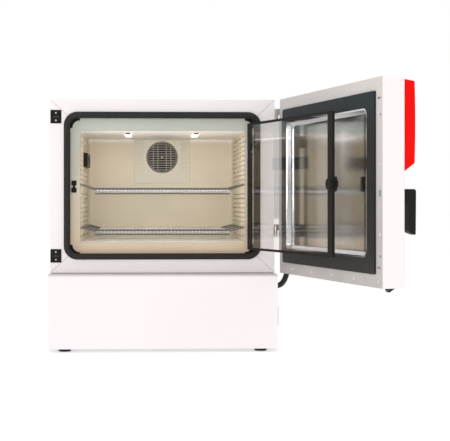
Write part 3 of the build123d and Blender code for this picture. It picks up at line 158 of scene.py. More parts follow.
class IncubatorFinishSettings(bpy.types.PropertyGroup):
    paint: colour("Paint", "Powder coat of the casing and both doors' frames", (0.86, 0.80, 0.805))
    border: colour("Door border", "Sheet round the inner side of the door", (0.66, 0.62, 0.60))
    # Painted reflection: the liner's beige is the warm light that its grey stainless reflects, painted into its
    # colour. The fan cover's tone carries the same tint.
    liner: colour("Liner", "Stainless sheet of the chamber", (0.75, 0.67, 0.525))
    # Painted light: the chamber floor's and ceiling's colours are paler copies of the liner. They stand in for the
    # light that falls on them.
    floor: colour("Chamber floor", "Polished floor of the chamber", (0.96, 0.95, 0.94))
    ceiling: colour("Chamber ceiling", "Duller sheet over the chamber", (0.96, 0.93, 0.90))
    cover: colour("Fan cover", "Pressed cover of the chamber's fan", (0.70, 0.665, 0.565))
    # Painted shade: the grille's colour is the shade in its slots, painted on the flat cover.
    grille: colour("Grille", "Slotted disc in the fan cover", (0.24, 0.225, 0.20))
    # Painted light: the mouth's cool header colour and warm sill colour are tints of the light on one steel lip.
    flange: colour("Mouth", "Stainless lip round the chamber's mouth", (0.54, 0.57, 0.51))
    sill: colour("Sill", "The same lip at its lower side", (0.78, 0.60, 0.41))
    panel: colour("Door panel", "Dark moulded panel inside the door", (0.017, 0.016, 0.015))
    panel_top: colour("Door panel, top", "The same panel near its upper edge", (0.009, 0.022, 0.027))
    trim: colour("Trim", "Control housing on the door's front", (0.80, 0.004, 0.003))
    rubber: colour("Rubber", "Gasket, feet, hose and glands", (0.018, 0.016, 0.015))
    plastic: colour("Black plastic", "Handle, strikes and inner door frame", (0.012, 0.011, 0.010))


class IncubatorHoseSettings(bpy.types.PropertyGroup):
    diameter: length("Diameter", "Outer diameter of the cable hose", 0.0185)
    length: length("Length", "Length of the hose between its glands", 0.1556)


class IncubatorScrewSettings(bpy.types.PropertyGroup):
    head: length("Head radius", "Radius of a pan head", 0.0042)
    height: length("Head height", "Height of a pan head", 0.0018)
    recess: length("Recess depth", "Depth of the cross recess", 0.0011)


class IncubatorRackSettings(bpy.types.PropertyGroup):
    rail: length("Rail radius", "Radius of the side rails and arms", 0.0030)
    bar: length("Bar radius", "Radius of the cross bars", 0.0025)
    wire: length("Wire radius", "Radius of the wires of the bed", 0.0013)
    pitch: length("Wire pitch", "Distance between the wires of the bed", 0.0117)
    inset: length("Bed inset", "From the rails' outer side to the bed's edge", 0.0457)


class IncubatorCoverSettings(bpy.types.PropertyGroup):
    rows: IntProperty(name="Louvre rows", description="Pressed louvres, one above another",
                      default=13, min=1, max=20)
    pitch: length("Louvre pitch", "Height from one louvre to the next", 0.0095)
    width: length("Louvre width", "Length of a pressed louvre", 0.0105)
    near: length("First column", "From the fan's axis to the nearer louvres", 0.074)
    step: length("Column step", "From one column of louvres to the next", 0.017)


class IncubatorStageSettings(bpy.types.PropertyGroup):
    lens: FloatProperty(name="Lens", description="Focal length in millimetres", default=91.2)
    sky: FloatProperty(name="Surround", description="Strength of the white surround", default=0.62)
    front: FloatProperty(
        name="Front light", description="Power of the front light", default=45.0, unit="POWER"
    )
    mouth: FloatProperty(
        name="Chamber light", description="Power of the soft light at the chamber's mouth",
        default=0.9, unit="POWER",
    )
    side: FloatProperty(
        name="Side light", description="Power of the light on the left", default=10.0, unit="POWER"
    )


def settings():
    return bpy.context.scene.incubator


# ---- shader groups ---------------------------------------------------------------------


def group_of(name, inputs, outputs):
    tree = bpy.data.node_groups.new(name, "ShaderNodeTree")
    for label, kind, value in inputs:
        socket = tree.interface.new_socket(label, in_out="INPUT", socket_type=kind)
        socket.default_value = value
    for label, kind in outputs:
        tree.interface.new_socket(label, in_out="OUTPUT", socket_type=kind)
    return tree, tree.nodes.new("NodeGroupInput"), tree.nodes.new("NodeGroupOutput")


FLOAT, COLOUR, VECTOR = "NodeSocketFloat", "NodeSocketColor", "NodeSocketVector"
SKIN_OUT = (("Colour", COLOUR), ("Roughness", FLOAT), ("Normal", VECTOR))


def feed(tree, socket, value):
    """Links a value that is a socket, or sets a plain one."""
    if hasattr(value, "links"):
        tree.links.new(value, socket)
    else:
        socket.default_value = value


def add_node(tree, kind, values):
    """A node with its inputs linked or set."""
    node = tree.nodes.new(kind)
    for socket, value in values.items():
        feed(tree, node.inputs[socket], value)
    return node


def own_place(tree):
    return tree.nodes.new("ShaderNodeTexCoord").outputs["Object"]


def axes_of(tree, vector):
    return add_node(tree, "ShaderNodeSeparateXYZ", {0: vector}).outputs


def noise(tree, vector, scale, detail=2.0, rough=0.5):
    return add_node(tree, "ShaderNodeTexNoise", {
        "Vector": vector, "Scale": scale, "Detail": detail, "Roughness": rough,
    }).outputs["Fac"]


def spread(tree, fac, low, high, start=0.3, end=0.7):
    """Maps start to end onto low to high."""
    return add_node(tree, "ShaderNodeMapRange", {
        "Value": fac, "From Min": start, "From Max": end, "To Min": low, "To Max": high,
    }).outputs["Result"]


def arithmetic(tree, operation, a, b):
    node = add_node(tree, "ShaderNodeMath", {0: a, 1: b})
    node.operation = operation
    return node.outputs[0]


def mix_colour(tree, fac, a, b):
    node = tree.nodes.new("ShaderNodeMix")
    node.data_type = "RGBA"
    feed(tree, node.inputs[0], fac)
    for socket, value in ((node.inputs[6], a), (node.inputs[7], b)):
        feed(tree, socket, value if hasattr(value, "links") else (*value[:3], 1))
    return node.outputs[2]


def bump(tree, height, strength, distance):
    return add_node(tree, "ShaderNodeBump", {
        "Height": height, "Strength": strength, "Distance": distance,
    }).outputs["Normal"]


def clouded(tree, tone, other, scale, detail, amount=1.0):
    """A tone with soft clouds of another one."""
    cloud = spread(tree, noise(tree, own_place(tree), scale, detail), 0.0, amount)
    return mix_colour(tree, cloud, tone, other)


def height_fade(tree, low, high):
    """0 below one height and 1 above another."""
    return spread(tree, axes_of(tree, own_place(tree))["Z"], 0.0, 1.0, low, high)


def rough_and_normal(tree, source, shader):
    for label in ("Roughness", "Normal"):
        tree.links.new(source.outputs[label], shader.inputs[label])


def close_skin(tree, inlet, outlet, shade, fine, height, depth, distance):
    """Ends a skin's group with its colour, its uneven roughness and its bump."""
    uneven = arithmetic(tree, "MULTIPLY", spread(tree, fine, -0.5, 0.5),
                        inlet.outputs["Roughness spread"])
    ends = {
        "Colour": shade,
        "Roughness": arithmetic(tree, "ADD", uneven, inlet.outputs["Roughness"]),
        "Normal": bump(tree, height, inlet.outputs[depth], distance),
    }
    for label, value in ends.items():
        tree.links.new(value, outlet.inputs[label])
    return tree


def make_skin():
    """Moulded or sprayed skin: fine grain in the normal, faint patches in the colour."""
    tree, inlet, outlet = group_of(
        "Fine skin",
        (
            ("Colour", COLOUR, (0.8, 0.8, 0.8, 1)),
            ("Patch colour", COLOUR, (0.7, 0.7, 0.7, 1)),
            ("Patches", FLOAT, 0.3),
            ("Grain size", FLOAT, 900.0),
            ("Grain", FLOAT, 0.2),
            ("Roughness", FLOAT, 0.4),
            ("Roughness spread", FLOAT, 0.08),
        ),
        SKIN_OUT,
    )
    place = own_place(tree)
    patches = spread(tree, noise(tree, place, 5.0, 4.0, 0.6), 0.0, inlet.outputs["Patches"])
    shade = mix_colour(tree, patches, inlet.outputs["Colour"], inlet.outputs["Patch colour"])
    specks = noise(tree, place, 60.0, 3.0)
    grain = noise(tree, place, inlet.outputs["Grain size"], 2.0)
    return close_skin(tree, inlet, outlet, shade, specks, grain, "Grain", 0.0004)


def make_brushing():
    """Brushed or drawn metal: streaks stretched along one axis of the piece."""
    tree, inlet, outlet = group_of(
        "Brushed grain",
        (
            ("Colour", COLOUR, (0.6, 0.6, 0.6, 1)),
            ("Streak colour", COLOUR, (0.5, 0.5, 0.5, 1)),
            ("Streak scale", VECTOR, (4.0, 4.0, 900.0)),
            ("Streaks", FLOAT, 0.25),
            ("Depth", FLOAT, 0.1),
            ("Roughness", FLOAT, 0.35),
            ("Roughness spread", FLOAT, 0.12),
        ),
        SKIN_OUT,
    )
    place = own_place(tree)
    stretch = add_node(tree, "ShaderNodeVectorMath", {0: place, 1: inlet.outputs["Streak scale"]})
    stretch.operation = "MULTIPLY"
    streak = noise(tree, stretch.outputs[0], 1.0, 3.0, 0.6)
    amount = arithmetic(
        tree, "MULTIPLY", spread(tree, streak, 0.0, 1.0), inlet.outputs["Streaks"]
    )
    shade = mix_colour(tree, amount, inlet.outputs["Colour"], inlet.outputs["Streak colour"])
    cloud = spread(tree, noise(tree, place, 6.0, 3.0), 0.0, 0.12)
    dulled = mix_colour(tree, cloud, shade, (0.30, 0.27, 0.24))
    return close_skin(tree, inlet, outlet, dulled, streak, streak, "Depth", 0.0003)


def make_dust():
    """Thin dust that settles on faces turned upwards."""
    tree, inlet, outlet = group_of(
        "Settled dust",
        (
            ("Colour", COLOUR, (0.1, 0.1, 0.1, 1)),
            ("Dust colour", COLOUR, (0.45, 0.43, 0.40, 1)),
            ("Amount", FLOAT, 0.2),
        ),
        (("Colour", COLOUR), ("Mask", FLOAT)),
    )
    normal = tree.nodes.new("ShaderNodeNewGeometry").outputs["Normal"]
    up = spread(tree, axes_of(tree, normal)["Z"], 0.15, 1.0, 0.2, 0.95)
    broken = spread(tree, noise(tree, own_place(tree), 38.0, 5.0, 0.7), 0.2, 1.0)
    mask = arithmetic(
        tree, "MULTIPLY", arithmetic(tree, "MULTIPLY", up, broken), inlet.outputs["Amount"]
    )
    tree.links.new(
        mix_colour(tree, mask, inlet.outputs["Colour"], inlet.outputs["Dust colour"]),
        outlet.inputs["Colour"],
    )
    tree.links.new(mask, outlet.inputs["Mask"])
    return tree


def make_wipe_marks():
    """Faint cloth marks on polished faces."""
    tree, inlet, outlet = group_of(
        "Wipe marks",
        (("Roughness", FLOAT, 0.05), ("Marks", FLOAT, 0.06), ("Depth", FLOAT, 0.02)),
        (("Roughness", FLOAT), ("Normal", VECTOR)),
    )
    place = own_place(tree)
    smear = noise(tree, place, 9.0, 6.0, 0.65)
    marks = arithmetic(
        tree, "MULTIPLY", spread(tree, smear, 0.0, 1.0, 0.45, 0.75), inlet.outputs["Marks"]
    )
    tree.links.new(
        arithmetic(tree, "ADD", marks, inlet.outputs["Roughness"]), outlet.inputs["Roughness"]
    )
    wave = noise(tree, place, 2.2, 1.0)
    tree.links.new(bump(tree, wave, inlet.outputs["Depth"], 0.01), outlet.inputs["Normal"])
    return tree


GROUPS = {
    "skin": make_skin, "brushing": make_brushing, "dust": make_dust, "wipe": make_wipe_marks,
}
_groups = {}


def group(name):
    if name not in _groups:
        _groups[name] = GROUPS[name]()
    return _groups[name]


# ---- materials -------------------------------------------------------------------------


def blank(name):
    material = bpy.data.materials.new(name)
    material.use_nodes = True
    return material, material.node_tree, material.node_tree.nodes["Principled BSDF"]


def placed(tree, name, values):
    """A group's node in a material's tree."""
    node = tree.nodes.new("ShaderNodeGroup")
    node.node_tree = group(name)
    for label, value in values.items():
        socket = node.inputs[label]
        if socket.type == "RGBA" and not hasattr(value, "links") and len(value) == 3:
            value = (*value, 1)
        feed(tree, socket, value)
    return node


def shaded(tone, factor):
    return tuple(min(1.0, c * factor) for c in tone)


def skin_material(name, tone, rough, grain_size, grain, patch=0.92, patches=0.4, dust=0.0,
                  coat=0.0, gloss=0.5, tone_out=None):
    material, tree, shader = blank(name)
    skin = placed(tree, "skin", {
        "Colour": tone_out(tree) if tone_out else tone, "Patch colour": shaded(tone, patch),
        "Patches": patches, "Grain size": grain_size, "Grain": grain,
        "Roughness": rough,
    })
    out = skin.outputs["Colour"]
    if dust:
        out = placed(tree, "dust", {"Colour": out, "Amount": dust}).outputs["Colour"]
    tree.links.new(out, shader.inputs["Base Color"])
    rough_and_normal(tree, skin, shader)
    shader.inputs["Coat Weight"].default_value = coat
    shader.inputs["Coat Roughness"].default_value = 0.12
    shader.inputs["Specular IOR Level"].default_value = gloss
    return material


def metal_material(name, tone, rough, scale, metallic=1.0, streaks=0.3, depth=0.12,
                   spread_of=0.12, tone_out=None):
    material, tree, shader = blank(name)
    grain = placed(tree, "brushing", {
        "Colour": tone_out(tree) if tone_out else tone, "Streak colour": shaded(tone, 0.82),
        "Streak scale": scale, "Streaks": streaks, "Depth": depth,
        "Roughness": rough, "Roughness spread": spread_of,
    })
    tree.links.new(grain.outputs["Colour"], shader.inputs["Base Color"])
    rough_and_normal(tree, grain, shader)
    shader.inputs["Metallic"].default_value = metallic
    return material


# Noise scales that draw streaks along one axis
ALONG_X = (5.0, 700.0, 900.0)
ALONG_Y = (700.0, 5.0, 900.0)
ALONG_Z = (900.0, 700.0, 5.0)
SPECKLED = (60.0, 60.0, 60.0)
FINE = (400.0, 400.0, 400.0)


def panel_fade(tree):
    """The door panel's tone, cooler towards its upper edge."""
    look = settings().finish
    low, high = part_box("door_panel")
    fade = height_fade(tree, low.z + (high.z - low.z) * PANEL_FADE, high.z)
    return mix_colour(tree, fade, look.panel, look.panel_top)


def liner_painted_light(tree):
    """The liner's tone with painted light: paler on its floor and under its roof, where the light that falls on
    the same sheet is painted into its colour.
    """
    look = settings().finish
    floor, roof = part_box("side_ducts")[0].z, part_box("chamber_lamps")[1].z
    above_floor = height_fade(tree, *(floor + z for z in FLOOR_FADE))
    near_roof = height_fade(tree, *(roof - z for z in ROOF_FADE))
    wall = mix_colour(tree, near_roof, look.liner, look.ceiling)
    return mix_colour(tree, above_floor, look.floor, wall)


def cover_painted_shade(tree):
    """The fan cover's tone: paler sheet with a dark disc of painted shade where the grille is cut, standing in for
    the shade in its slots.
    """
    look = settings().finish
    axis = joint_named("chamber_fan_spin")["pos_m"]
    axes = axes_of(tree, own_place(tree))
    flat = add_node(tree, "ShaderNodeCombineXYZ", {"X": axes["X"], "Z": axes["Z"]}).outputs[0]
    reach = add_node(tree, "ShaderNodeVectorMath", {0: flat, 1: (axis[0], 0.0, axis[2])})
    reach.operation = "DISTANCE"
    rim = spread(tree, reach.outputs["Value"], 0.0, 1.0, *GRILLE_RIM)
    return mix_colour(tree, rim, look.grille, look.cover)


def border_painted_shade(tree):
    """The door border's tone with painted shade: darker towards its lower edge."""
    border = settings().finish.border
    low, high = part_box("door_border")
    return mix_colour(
        tree, height_fade(tree, low.z, high.z), shaded(tuple(border), 0.62), border
    )


def mouth_painted_light(tree):
    """The mouth's tone with painted light: cooler at its header and warmer at its sill, tints of the light on one
    steel lip.
    """
    look = settings().finish
    low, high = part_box("chamber_flange")
    return mix_colour(tree, height_fade(tree, low.z, high.z), look.sill, look.flange)


def glass_material(name, tone, rough):
    """Clear float glass that lets light through to what stands behind it."""
    material, tree, shader = blank(name)
    marks = placed(tree, "wipe", {"Roughness": rough, "Marks": 0.03, "Depth": 0.01})
    rough_and_normal(tree, marks, shader)
    veiled = clouded(tree, tone, shaded(tone, 0.93), 3.0, 3.0, 0.25)
    tree.links.new(veiled, shader.inputs["Base Color"])
    shader.inputs["Transmission Weight"].default_value = 1.0
    shader.inputs["IOR"].default_value = 1.45
    clear = add_node(tree, "ShaderNodeBsdfTransparent", {"Color": (*shaded(tone, 0.97), 1)})
    ray = tree.nodes.new("ShaderNodeLightPath")
    either = add_node(tree, "ShaderNodeMixShader", {
        0: ray.outputs["Is Shadow Ray"], 1: shader.outputs[0], 2: clear.outputs[0],
    })
    tree.links.new(either.outputs[0], tree.nodes["Material Output"].inputs["Surface"])
    return material


def mirror_material(name, tone, rough):
    material, tree, shader = blank(name)
    marks = placed(tree, "wipe", {"Roughness": rough, "Marks": 0.05, "Depth": 0.03})
    rough_and_normal(tree, marks, shader)
    hazy = clouded(tree, tone, shaded(tone, 0.9), 4.0, 4.0, 0.3)
    tree.links.new(hazy, shader.inputs["Base Color"])
    shader.inputs["Metallic"].default_value = 1.0
    return material


def lit_material(name, tone, glow, strength):
    """A lens or a segment that gives light."""
    material, tree, shader = blank(name)
    for label, colour, share in (("Base Color", tone, 0.9), ("Emission Color", glow, 0.85)):
        mottled = clouded(tree, colour, shaded(colour, share), 300.0, 2.0)
        tree.links.new(mottled, shader.inputs[label])
    shader.inputs["Emission Strength"].default_value = strength
    shader.inputs["Roughness"].default_value = 0.3
    return material


def display_material(name, tone, other):
    """Black glass over the readout."""
    material, tree, shader = blank(name)
    marks = placed(tree, "wipe", {"Roughness": 0.08, "Marks": 0.08, "Depth": 0.01})
    rough_and_normal(tree, marks, shader)
    tree.links.new(clouded(tree, tone, other, 8.0, 3.0), shader.inputs["Base Color"])
    shader.inputs["Coat Weight"].default_value = 0.25
    shader.inputs["Coat Roughness"].default_value = 0.04
    shader.inputs["Specular IOR Level"].default_value = 0.25
    return material


def finishes():
    """Every finish by name: what makes it, its main values, and its other values."""
    look = settings().finish
    paint, border, liner = tuple(look.paint), tuple(look.border), tuple(look.liner)
    skin, metal, sheet = skin_material, metal_material, dict(
        metallic=0.12, streaks=0.22, depth=0.05, spread_of=0.08)
    return {
        # skins: tone, roughness, grain size and grain
        "powder_coat": (skin, paint, 0.38, 520.0, 0.10, dict(
            patch=0.97, patches=0.5, dust=0.04, coat=0.1)),
        "border_coat": (skin, border, 0.42, 520.0, 0.10, dict(
            patch=0.96, patches=0.5, tone_out=border_painted_shade)),
        "vent_coat": (skin, shaded(paint, 0.86), 0.45, 520.0, 0.12, {}),
        "painted_screw": (skin, shaded(border, 1.15), 0.25, 400.0, 0.1, {}),
        "soft_rubber": (skin, tuple(look.rubber), 0.52, 700.0, 0.25, dict(
            patch=1.5, patches=0.5, dust=0.06, gloss=0.25)),
        "black_plastic": (skin, tuple(look.plastic), 0.42, 900.0, 0.30, dict(
            patch=1.2, dust=0.02, gloss=0.12)),
        "door_panel": (skin, tuple(look.panel), 0.42, 650.0, 0.2, dict(
            patch=1.15, dust=0.02, gloss=0.18, tone_out=panel_fade)),
        "red_trim": (skin, tuple(look.trim), 0.36, 900.0, 0.08, dict(
            patch=0.9, patches=0.3, gloss=0.08)),
        "key_plastic": (skin, (0.30, 0.30, 0.31), 0.45, 900.0, 0.2, {}),
        "rigid_foam": (skin, (0.30, 0.26, 0.21), 0.85, 90.0, 0.8, dict(patch=0.8, patches=0.7)),
        "motor_black": (skin, (0.02, 0.02, 0.022), 0.30, 520.0, 0.15, dict(
            patch=1.5, patches=0.5, dust=0.2, coat=0.3)),
        # metals: tone, roughness and streaks
        # The chamber's steel takes the liner's colour, with its painted warm reflection.
        "liner_steel": (metal, liner, 0.42, ALONG_X, dict(sheet, tone_out=liner_painted_light)),
        "duct_steel": (metal, liner, 0.42, ALONG_Y, sheet),
        "cover_steel": (metal, liner, 0.40, ALONG_X, dict(
            sheet, streaks=0.2, tone_out=cover_painted_shade)),
        "mouth_steel": (metal, tuple(look.flange), 0.42, ALONG_X, dict(
            sheet, metallic=0.15, streaks=0.2, tone_out=mouth_painted_light)),
        # Painted shade: a dark copy of the rack wire for the front bars, rails and arms.
        "rack_bar": (metal, (0.20, 0.20, 0.205), 0.34, ALONG_X, dict(
            metallic=0.9, depth=0.05, spread_of=0.1)),
        "rack_wire": (metal, (0.90, 0.89, 0.88), 0.30, ALONG_Y, dict(
            metallic=0.5, streaks=0.1, depth=0.03, spread_of=0.06)),
        "hinge_steel": (metal, (0.60, 0.57, 0.53), 0.30, ALONG_Z, {}),
        "zinc_sheet": (metal, (0.55, 0.56, 0.57), 0.38, SPECKLED, dict(streaks=0.5)),
        "fin_stock": (metal, (0.74, 0.75, 0.76), 0.32, ALONG_Z, {}),
        "copper_tube": (metal, (0.78, 0.36, 0.20), 0.28, ALONG_Y, {}),
        "dull_steel": (metal, (0.80, 0.80, 0.78), 0.35, FINE, dict(metallic=0.6)),
        # glass and mirrors: tone and roughness, or two tones
        "polished_plate": (mirror_material, (0.78, 0.80, 0.82), 0.10, {}),
        "float_glass": (glass_material, (0.91, 0.905, 0.90), 0.015, {}),
        "display_face": (display_material, (0.012, 0.014, 0.017), (0.02, 0.022, 0.026), {}),
        # lights: tone, glow and strength
        "lamp_lens": (lit_material, (0.92, 0.92, 0.90), (1.0, 0.98, 0.94), 1.7, {}),
        "readout_glow": (lit_material, (0.75, 0.85, 0.88), (0.70, 0.92, 1.0), 1.6, {}),
    }


_finishes = {}


def finish(name):
    if name not in _finishes:
        maker, *values, others = finishes()[name]
        _finishes[name] = maker(name, *values, **others)
    return _finishes[name]


def clad(finished_nodes):
    """Gives the CAD pieces named under each finish that finish."""
    for name, nodes in finished_nodes.items():
        for node in nodes.split():
            mesh = frame["nodes"][node].data
            mesh.materials.clear()
            mesh.materials.append(finish(name))


CABINET = {
    "powder_coat": (
        "base_front_panel base_sides base_rear_panel casing_wrap casing_top casing_rear "
        "front_frame"
    ),
    "vent_coat": "side_vent_cover",
    "zinc_sheet": "base_floor_pan",
    "soft_rubber": "feet base_gland door_gasket",
    "black_plastic": "power_inlet breaker_frame strike_plates glass_door_fittings",
    "rigid_foam": "insulation",
    "hinge_steel": "cabinet_hinges",
}
CHAMBER = {
    "mouth_steel": "chamber_flange",
    "liner_steel": "liner rear_panel",
    "duct_steel": "side_ducts rack_runners",
    "cover_steel": "fan_cover",
    "black_plastic": "probe_housing fan_wheel",
    "lamp_lens": "chamber_lamps",
    "zinc_sheet": "fan_motor heater",
    "fin_stock": "evaporator",
}
DOORS = {
    "powder_coat": "door_shell",
    "rigid_foam": "door_foam",
    "border_coat": "door_border",
    "door_panel": "door_panel",
    "polished_plate": "door_plate",
    "hinge_steel": "door_hinges",
    "red_trim": "control_housing",
    "display_face": "display_panel",
    "black_plastic": "handle_mount handle_lever glass_frame glass_knob",
    "zinc_sheet": "latch_bar",
    "soft_rubber": "door_bumper door_gland",
    "float_glass": "glass_pane",
    "key_plastic": "key_set key_up key_down",
}
COOLING = {
    "motor_black": "compressor",
    "fin_stock": "condenser_coil",
    "zinc_sheet": "condenser_fan_frame",
    "black_plastic": "condenser_fan_wheel drip_tray",
    "copper_tube": "refrigerant_pipes",
}


# ---- mesh helpers ----------------------------------------------------------------------


def shown(name, data):
    """A new object in the scene."""
    obj = bpy.data.objects.new(name, data)
    bpy.context.scene.collection.objects.link(obj)
    return obj


def piece_of(name, mesh, material, body):
    mesh.materials.clear()
    mesh.materials.append(material)
    obj = shown(name, mesh)
    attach(obj, body)
    return obj


def meshed(obj):
    """A plain mesh of an object as its modifiers or its curve make it."""
    graph = bpy.context.evaluated_depsgraph_get()
    return bpy.data.meshes.new_from_object(
        obj.evaluated_get(graph), preserve_all_data_layers=True, depsgraph=graph
    )


def settled(obj):
    """The evaluated object's mesh as a plain one, with no modifier left."""
    mesh = meshed(obj)
    obj.modifiers.clear()
    obj.data = mesh
    return obj


def finished(mesh, name):
    """A bmesh as a plain mesh."""
    data = bpy.data.meshes.new(name)
    mesh.to_mesh(data)
    mesh.free()
    return data


def welded(node):
    """A CAD piece's mesh with its split corners joined."""
    mesh = bmesh.new()
    mesh.from_mesh(frame["nodes"][node].data)
    bmesh.ops.remove_doubles(mesh, verts=mesh.verts, dist=WELD)
    return mesh


def separate(mesh):
    """The corners of each solid of a mesh."""
    left, solids = set(mesh.verts), []
    while left:
        stack = [left.pop()]
        found = list(stack)
        while stack:
            for edge in stack.pop().link_edges:
                for vert in edge.verts:
                    if vert in left:
                        left.remove(vert)
                        stack.append(vert)
                        found.append(vert)
        solids.append(found)
    return solids


def box_round(spots):
    return tuple(Vector([pick(s[i] for s in spots) for i in range(3)]) for pick in (min, max))


def islands(node):
    """The boxes round a CAD piece's separate solids."""
    mesh = welded(node)
    boxes = [box_round([v.co for v in solid]) for solid in separate(mesh)]
    mesh.free()
    return sorted(boxes, key=lambda b: tuple(round(c, 4) for c in (*b[0], *b[1])))


def tall_solids(node, least):
    """A mesh of those separate solids of a CAD piece that are at least so tall."""
    mesh = welded(node)
    bmesh.ops.dissolve_limit(mesh, angle_limit=radians(1.0), verts=mesh.verts, edges=mesh.edges)
    small = []
    for solid in separate(mesh):
        low, high = box_round([v.co for v in solid])
        if high.z - low.z < least:
            small += solid
    bmesh.ops.delete(mesh, geom=small, context="VERTS")
    return finished(mesh, node + "_tall")


# ---- Geometry Nodes --------------------------------------------------------------------


class Tree:
    """A Geometry Nodes tree in the making."""

    def __init__(self, name, inputs):
        self.tree = bpy.data.node_groups.new(name, "GeometryNodeTree")
        face = self.tree.interface
        face.new_socket("Geometry", in_out="INPUT", socket_type="NodeSocketGeometry")
        self.names = {}
        for label, kind, value in inputs:
            socket = face.new_socket(label, in_out="INPUT", socket_type=kind)
            socket.default_value = value
            self.names[label] = socket.identifier
        face.new_socket("Geometry", in_out="OUTPUT", socket_type="NodeSocketGeometry")
        self.inlet = self.tree.nodes.new("NodeGroupInput").outputs
        self.outlet = self.tree.nodes.new("NodeGroupOutput").inputs

    def add(self, kind, links=None, **traits):
        node = self.tree.nodes.new(kind)
        for key, value in traits.items():
            setattr(node, key, value)
        for socket, value in (links or {}).items():
            target = node.inputs[socket]
            for each in value if isinstance(value, list) else [value]:
                feed(self.tree, target, each)
        return node.outputs

    def math(self, operation, a, b):
        return self.add("ShaderNodeMath", {0: a, 1: b}, operation=operation)[0]

    def at(self, **axes):
        return self.add("ShaderNodeCombineXYZ", axes)[0]

    def close(self, geometry, material):
        real = self.add("GeometryNodeRealizeInstances", {0: geometry})[0]
        done = self.add("GeometryNodeSetMaterial", {"Geometry": real, "Material": material})[0]
        self.tree.links.new(done, self.outlet[0])

    def put_on(self, obj, values):
        modifier = obj.modifiers.new(self.tree.name, "NODES")
        modifier.node_group = self.tree
        for label, value in values.items():
            modifier[self.names[label]] = value
        return settled(obj)


def seats(name, points, facings):
    """A mesh of loose points, each with the way that its piece faces."""
    mesh = bpy.data.meshes.new(name)
    mesh.from_pydata([tuple(p) for p in points], [], [])
    facing = mesh.attributes.new("facing", "FLOAT_VECTOR", "POINT")
    for i, way in enumerate(facings):
        facing.data[i].vector = way
    return shown(name, mesh)


def facing_rotation(tree):
    way = tree.add("GeometryNodeInputNamedAttribute", {"Name": "facing"},
                   data_type="FLOAT_VECTOR")["Attribute"]
    return tree.add("FunctionNodeAlignRotationToVector", {"Vector": way}, axis="Z")[0]


def screw_tree(material):
    """Pan heads with a cross recess, one on each seat, each turned at random."""
    tree = Tree("Pan head screws", (
        ("Head radius", FLOAT, 0.0042), ("Head height", FLOAT, 0.0018),
        ("Recess depth", FLOAT, 0.0011), ("Seed", "NodeSocketInt", SEED),
    ))
    radius, height, deep = (tree.inlet[k] for k in ("Head radius", "Head height", "Recess depth"))
    head = tree.add("GeometryNodeMeshCone", {
        "Vertices": 24, "Side Segments": 1, "Radius Top": tree.math("MULTIPLY", radius, 0.7),
        "Radius Bottom": radius, "Depth": height,
    })["Mesh"]
    lift = tree.at(Z=height)
    bars = []
    for long_share, wide_share in ((1.05, 0.24), (0.24, 1.05)):
        size = tree.at(X=tree.math("MULTIPLY", radius, long_share),
                       Y=tree.math("MULTIPLY", radius, wide_share),
                       Z=tree.math("MULTIPLY", deep, 2.0))
        bar = tree.add("GeometryNodeMeshCube", {"Size": size})["Mesh"]
        bars.append(tree.add("GeometryNodeTransform", {"Geometry": bar, "Translation": lift})[0])
    cut = tree.add("GeometryNodeMeshBoolean", {"Mesh 1": head, "Mesh 2": bars},
                   operation="DIFFERENCE", solver="EXACT")["Mesh"]
    points = tree.add("GeometryNodeMeshToPoints", {"Mesh": tree.inlet["Geometry"]})[0]
    twist = tree.add("FunctionNodeRandomValue", {
        2: 0.0, 3: 2 * pi, "Seed": tree.inlet["Seed"]}, data_type="FLOAT")[1]
    spin = tree.add("FunctionNodeEulerToRotation", {0: tree.at(Z=twist)})[0]
    turned = tree.add("FunctionNodeRotateRotation", {
        "Rotation": facing_rotation(tree), "Rotate By": spin}, rotation_space="LOCAL")[0]
    heads = tree.add("GeometryNodeInstanceOnPoints", {
        "Points": points, "Instance": cut, "Rotation": turned})[0]
    tree.close(heads, material)
    return tree


def rod_of(tree, curve, radius, sides):
    """Sweeps a round section along a curve."""
    ring = tree.add("GeometryNodeCurvePrimitiveCircle", {"Resolution": sides, "Radius": radius})[0]
    swept = tree.add("GeometryNodeCurveToMesh", {
        "Curve": curve, "Profile Curve": ring, "Fill Caps": True})[0]
    return tree.add("GeometryNodeSetShadeSmooth", {"Geometry": swept})[0]


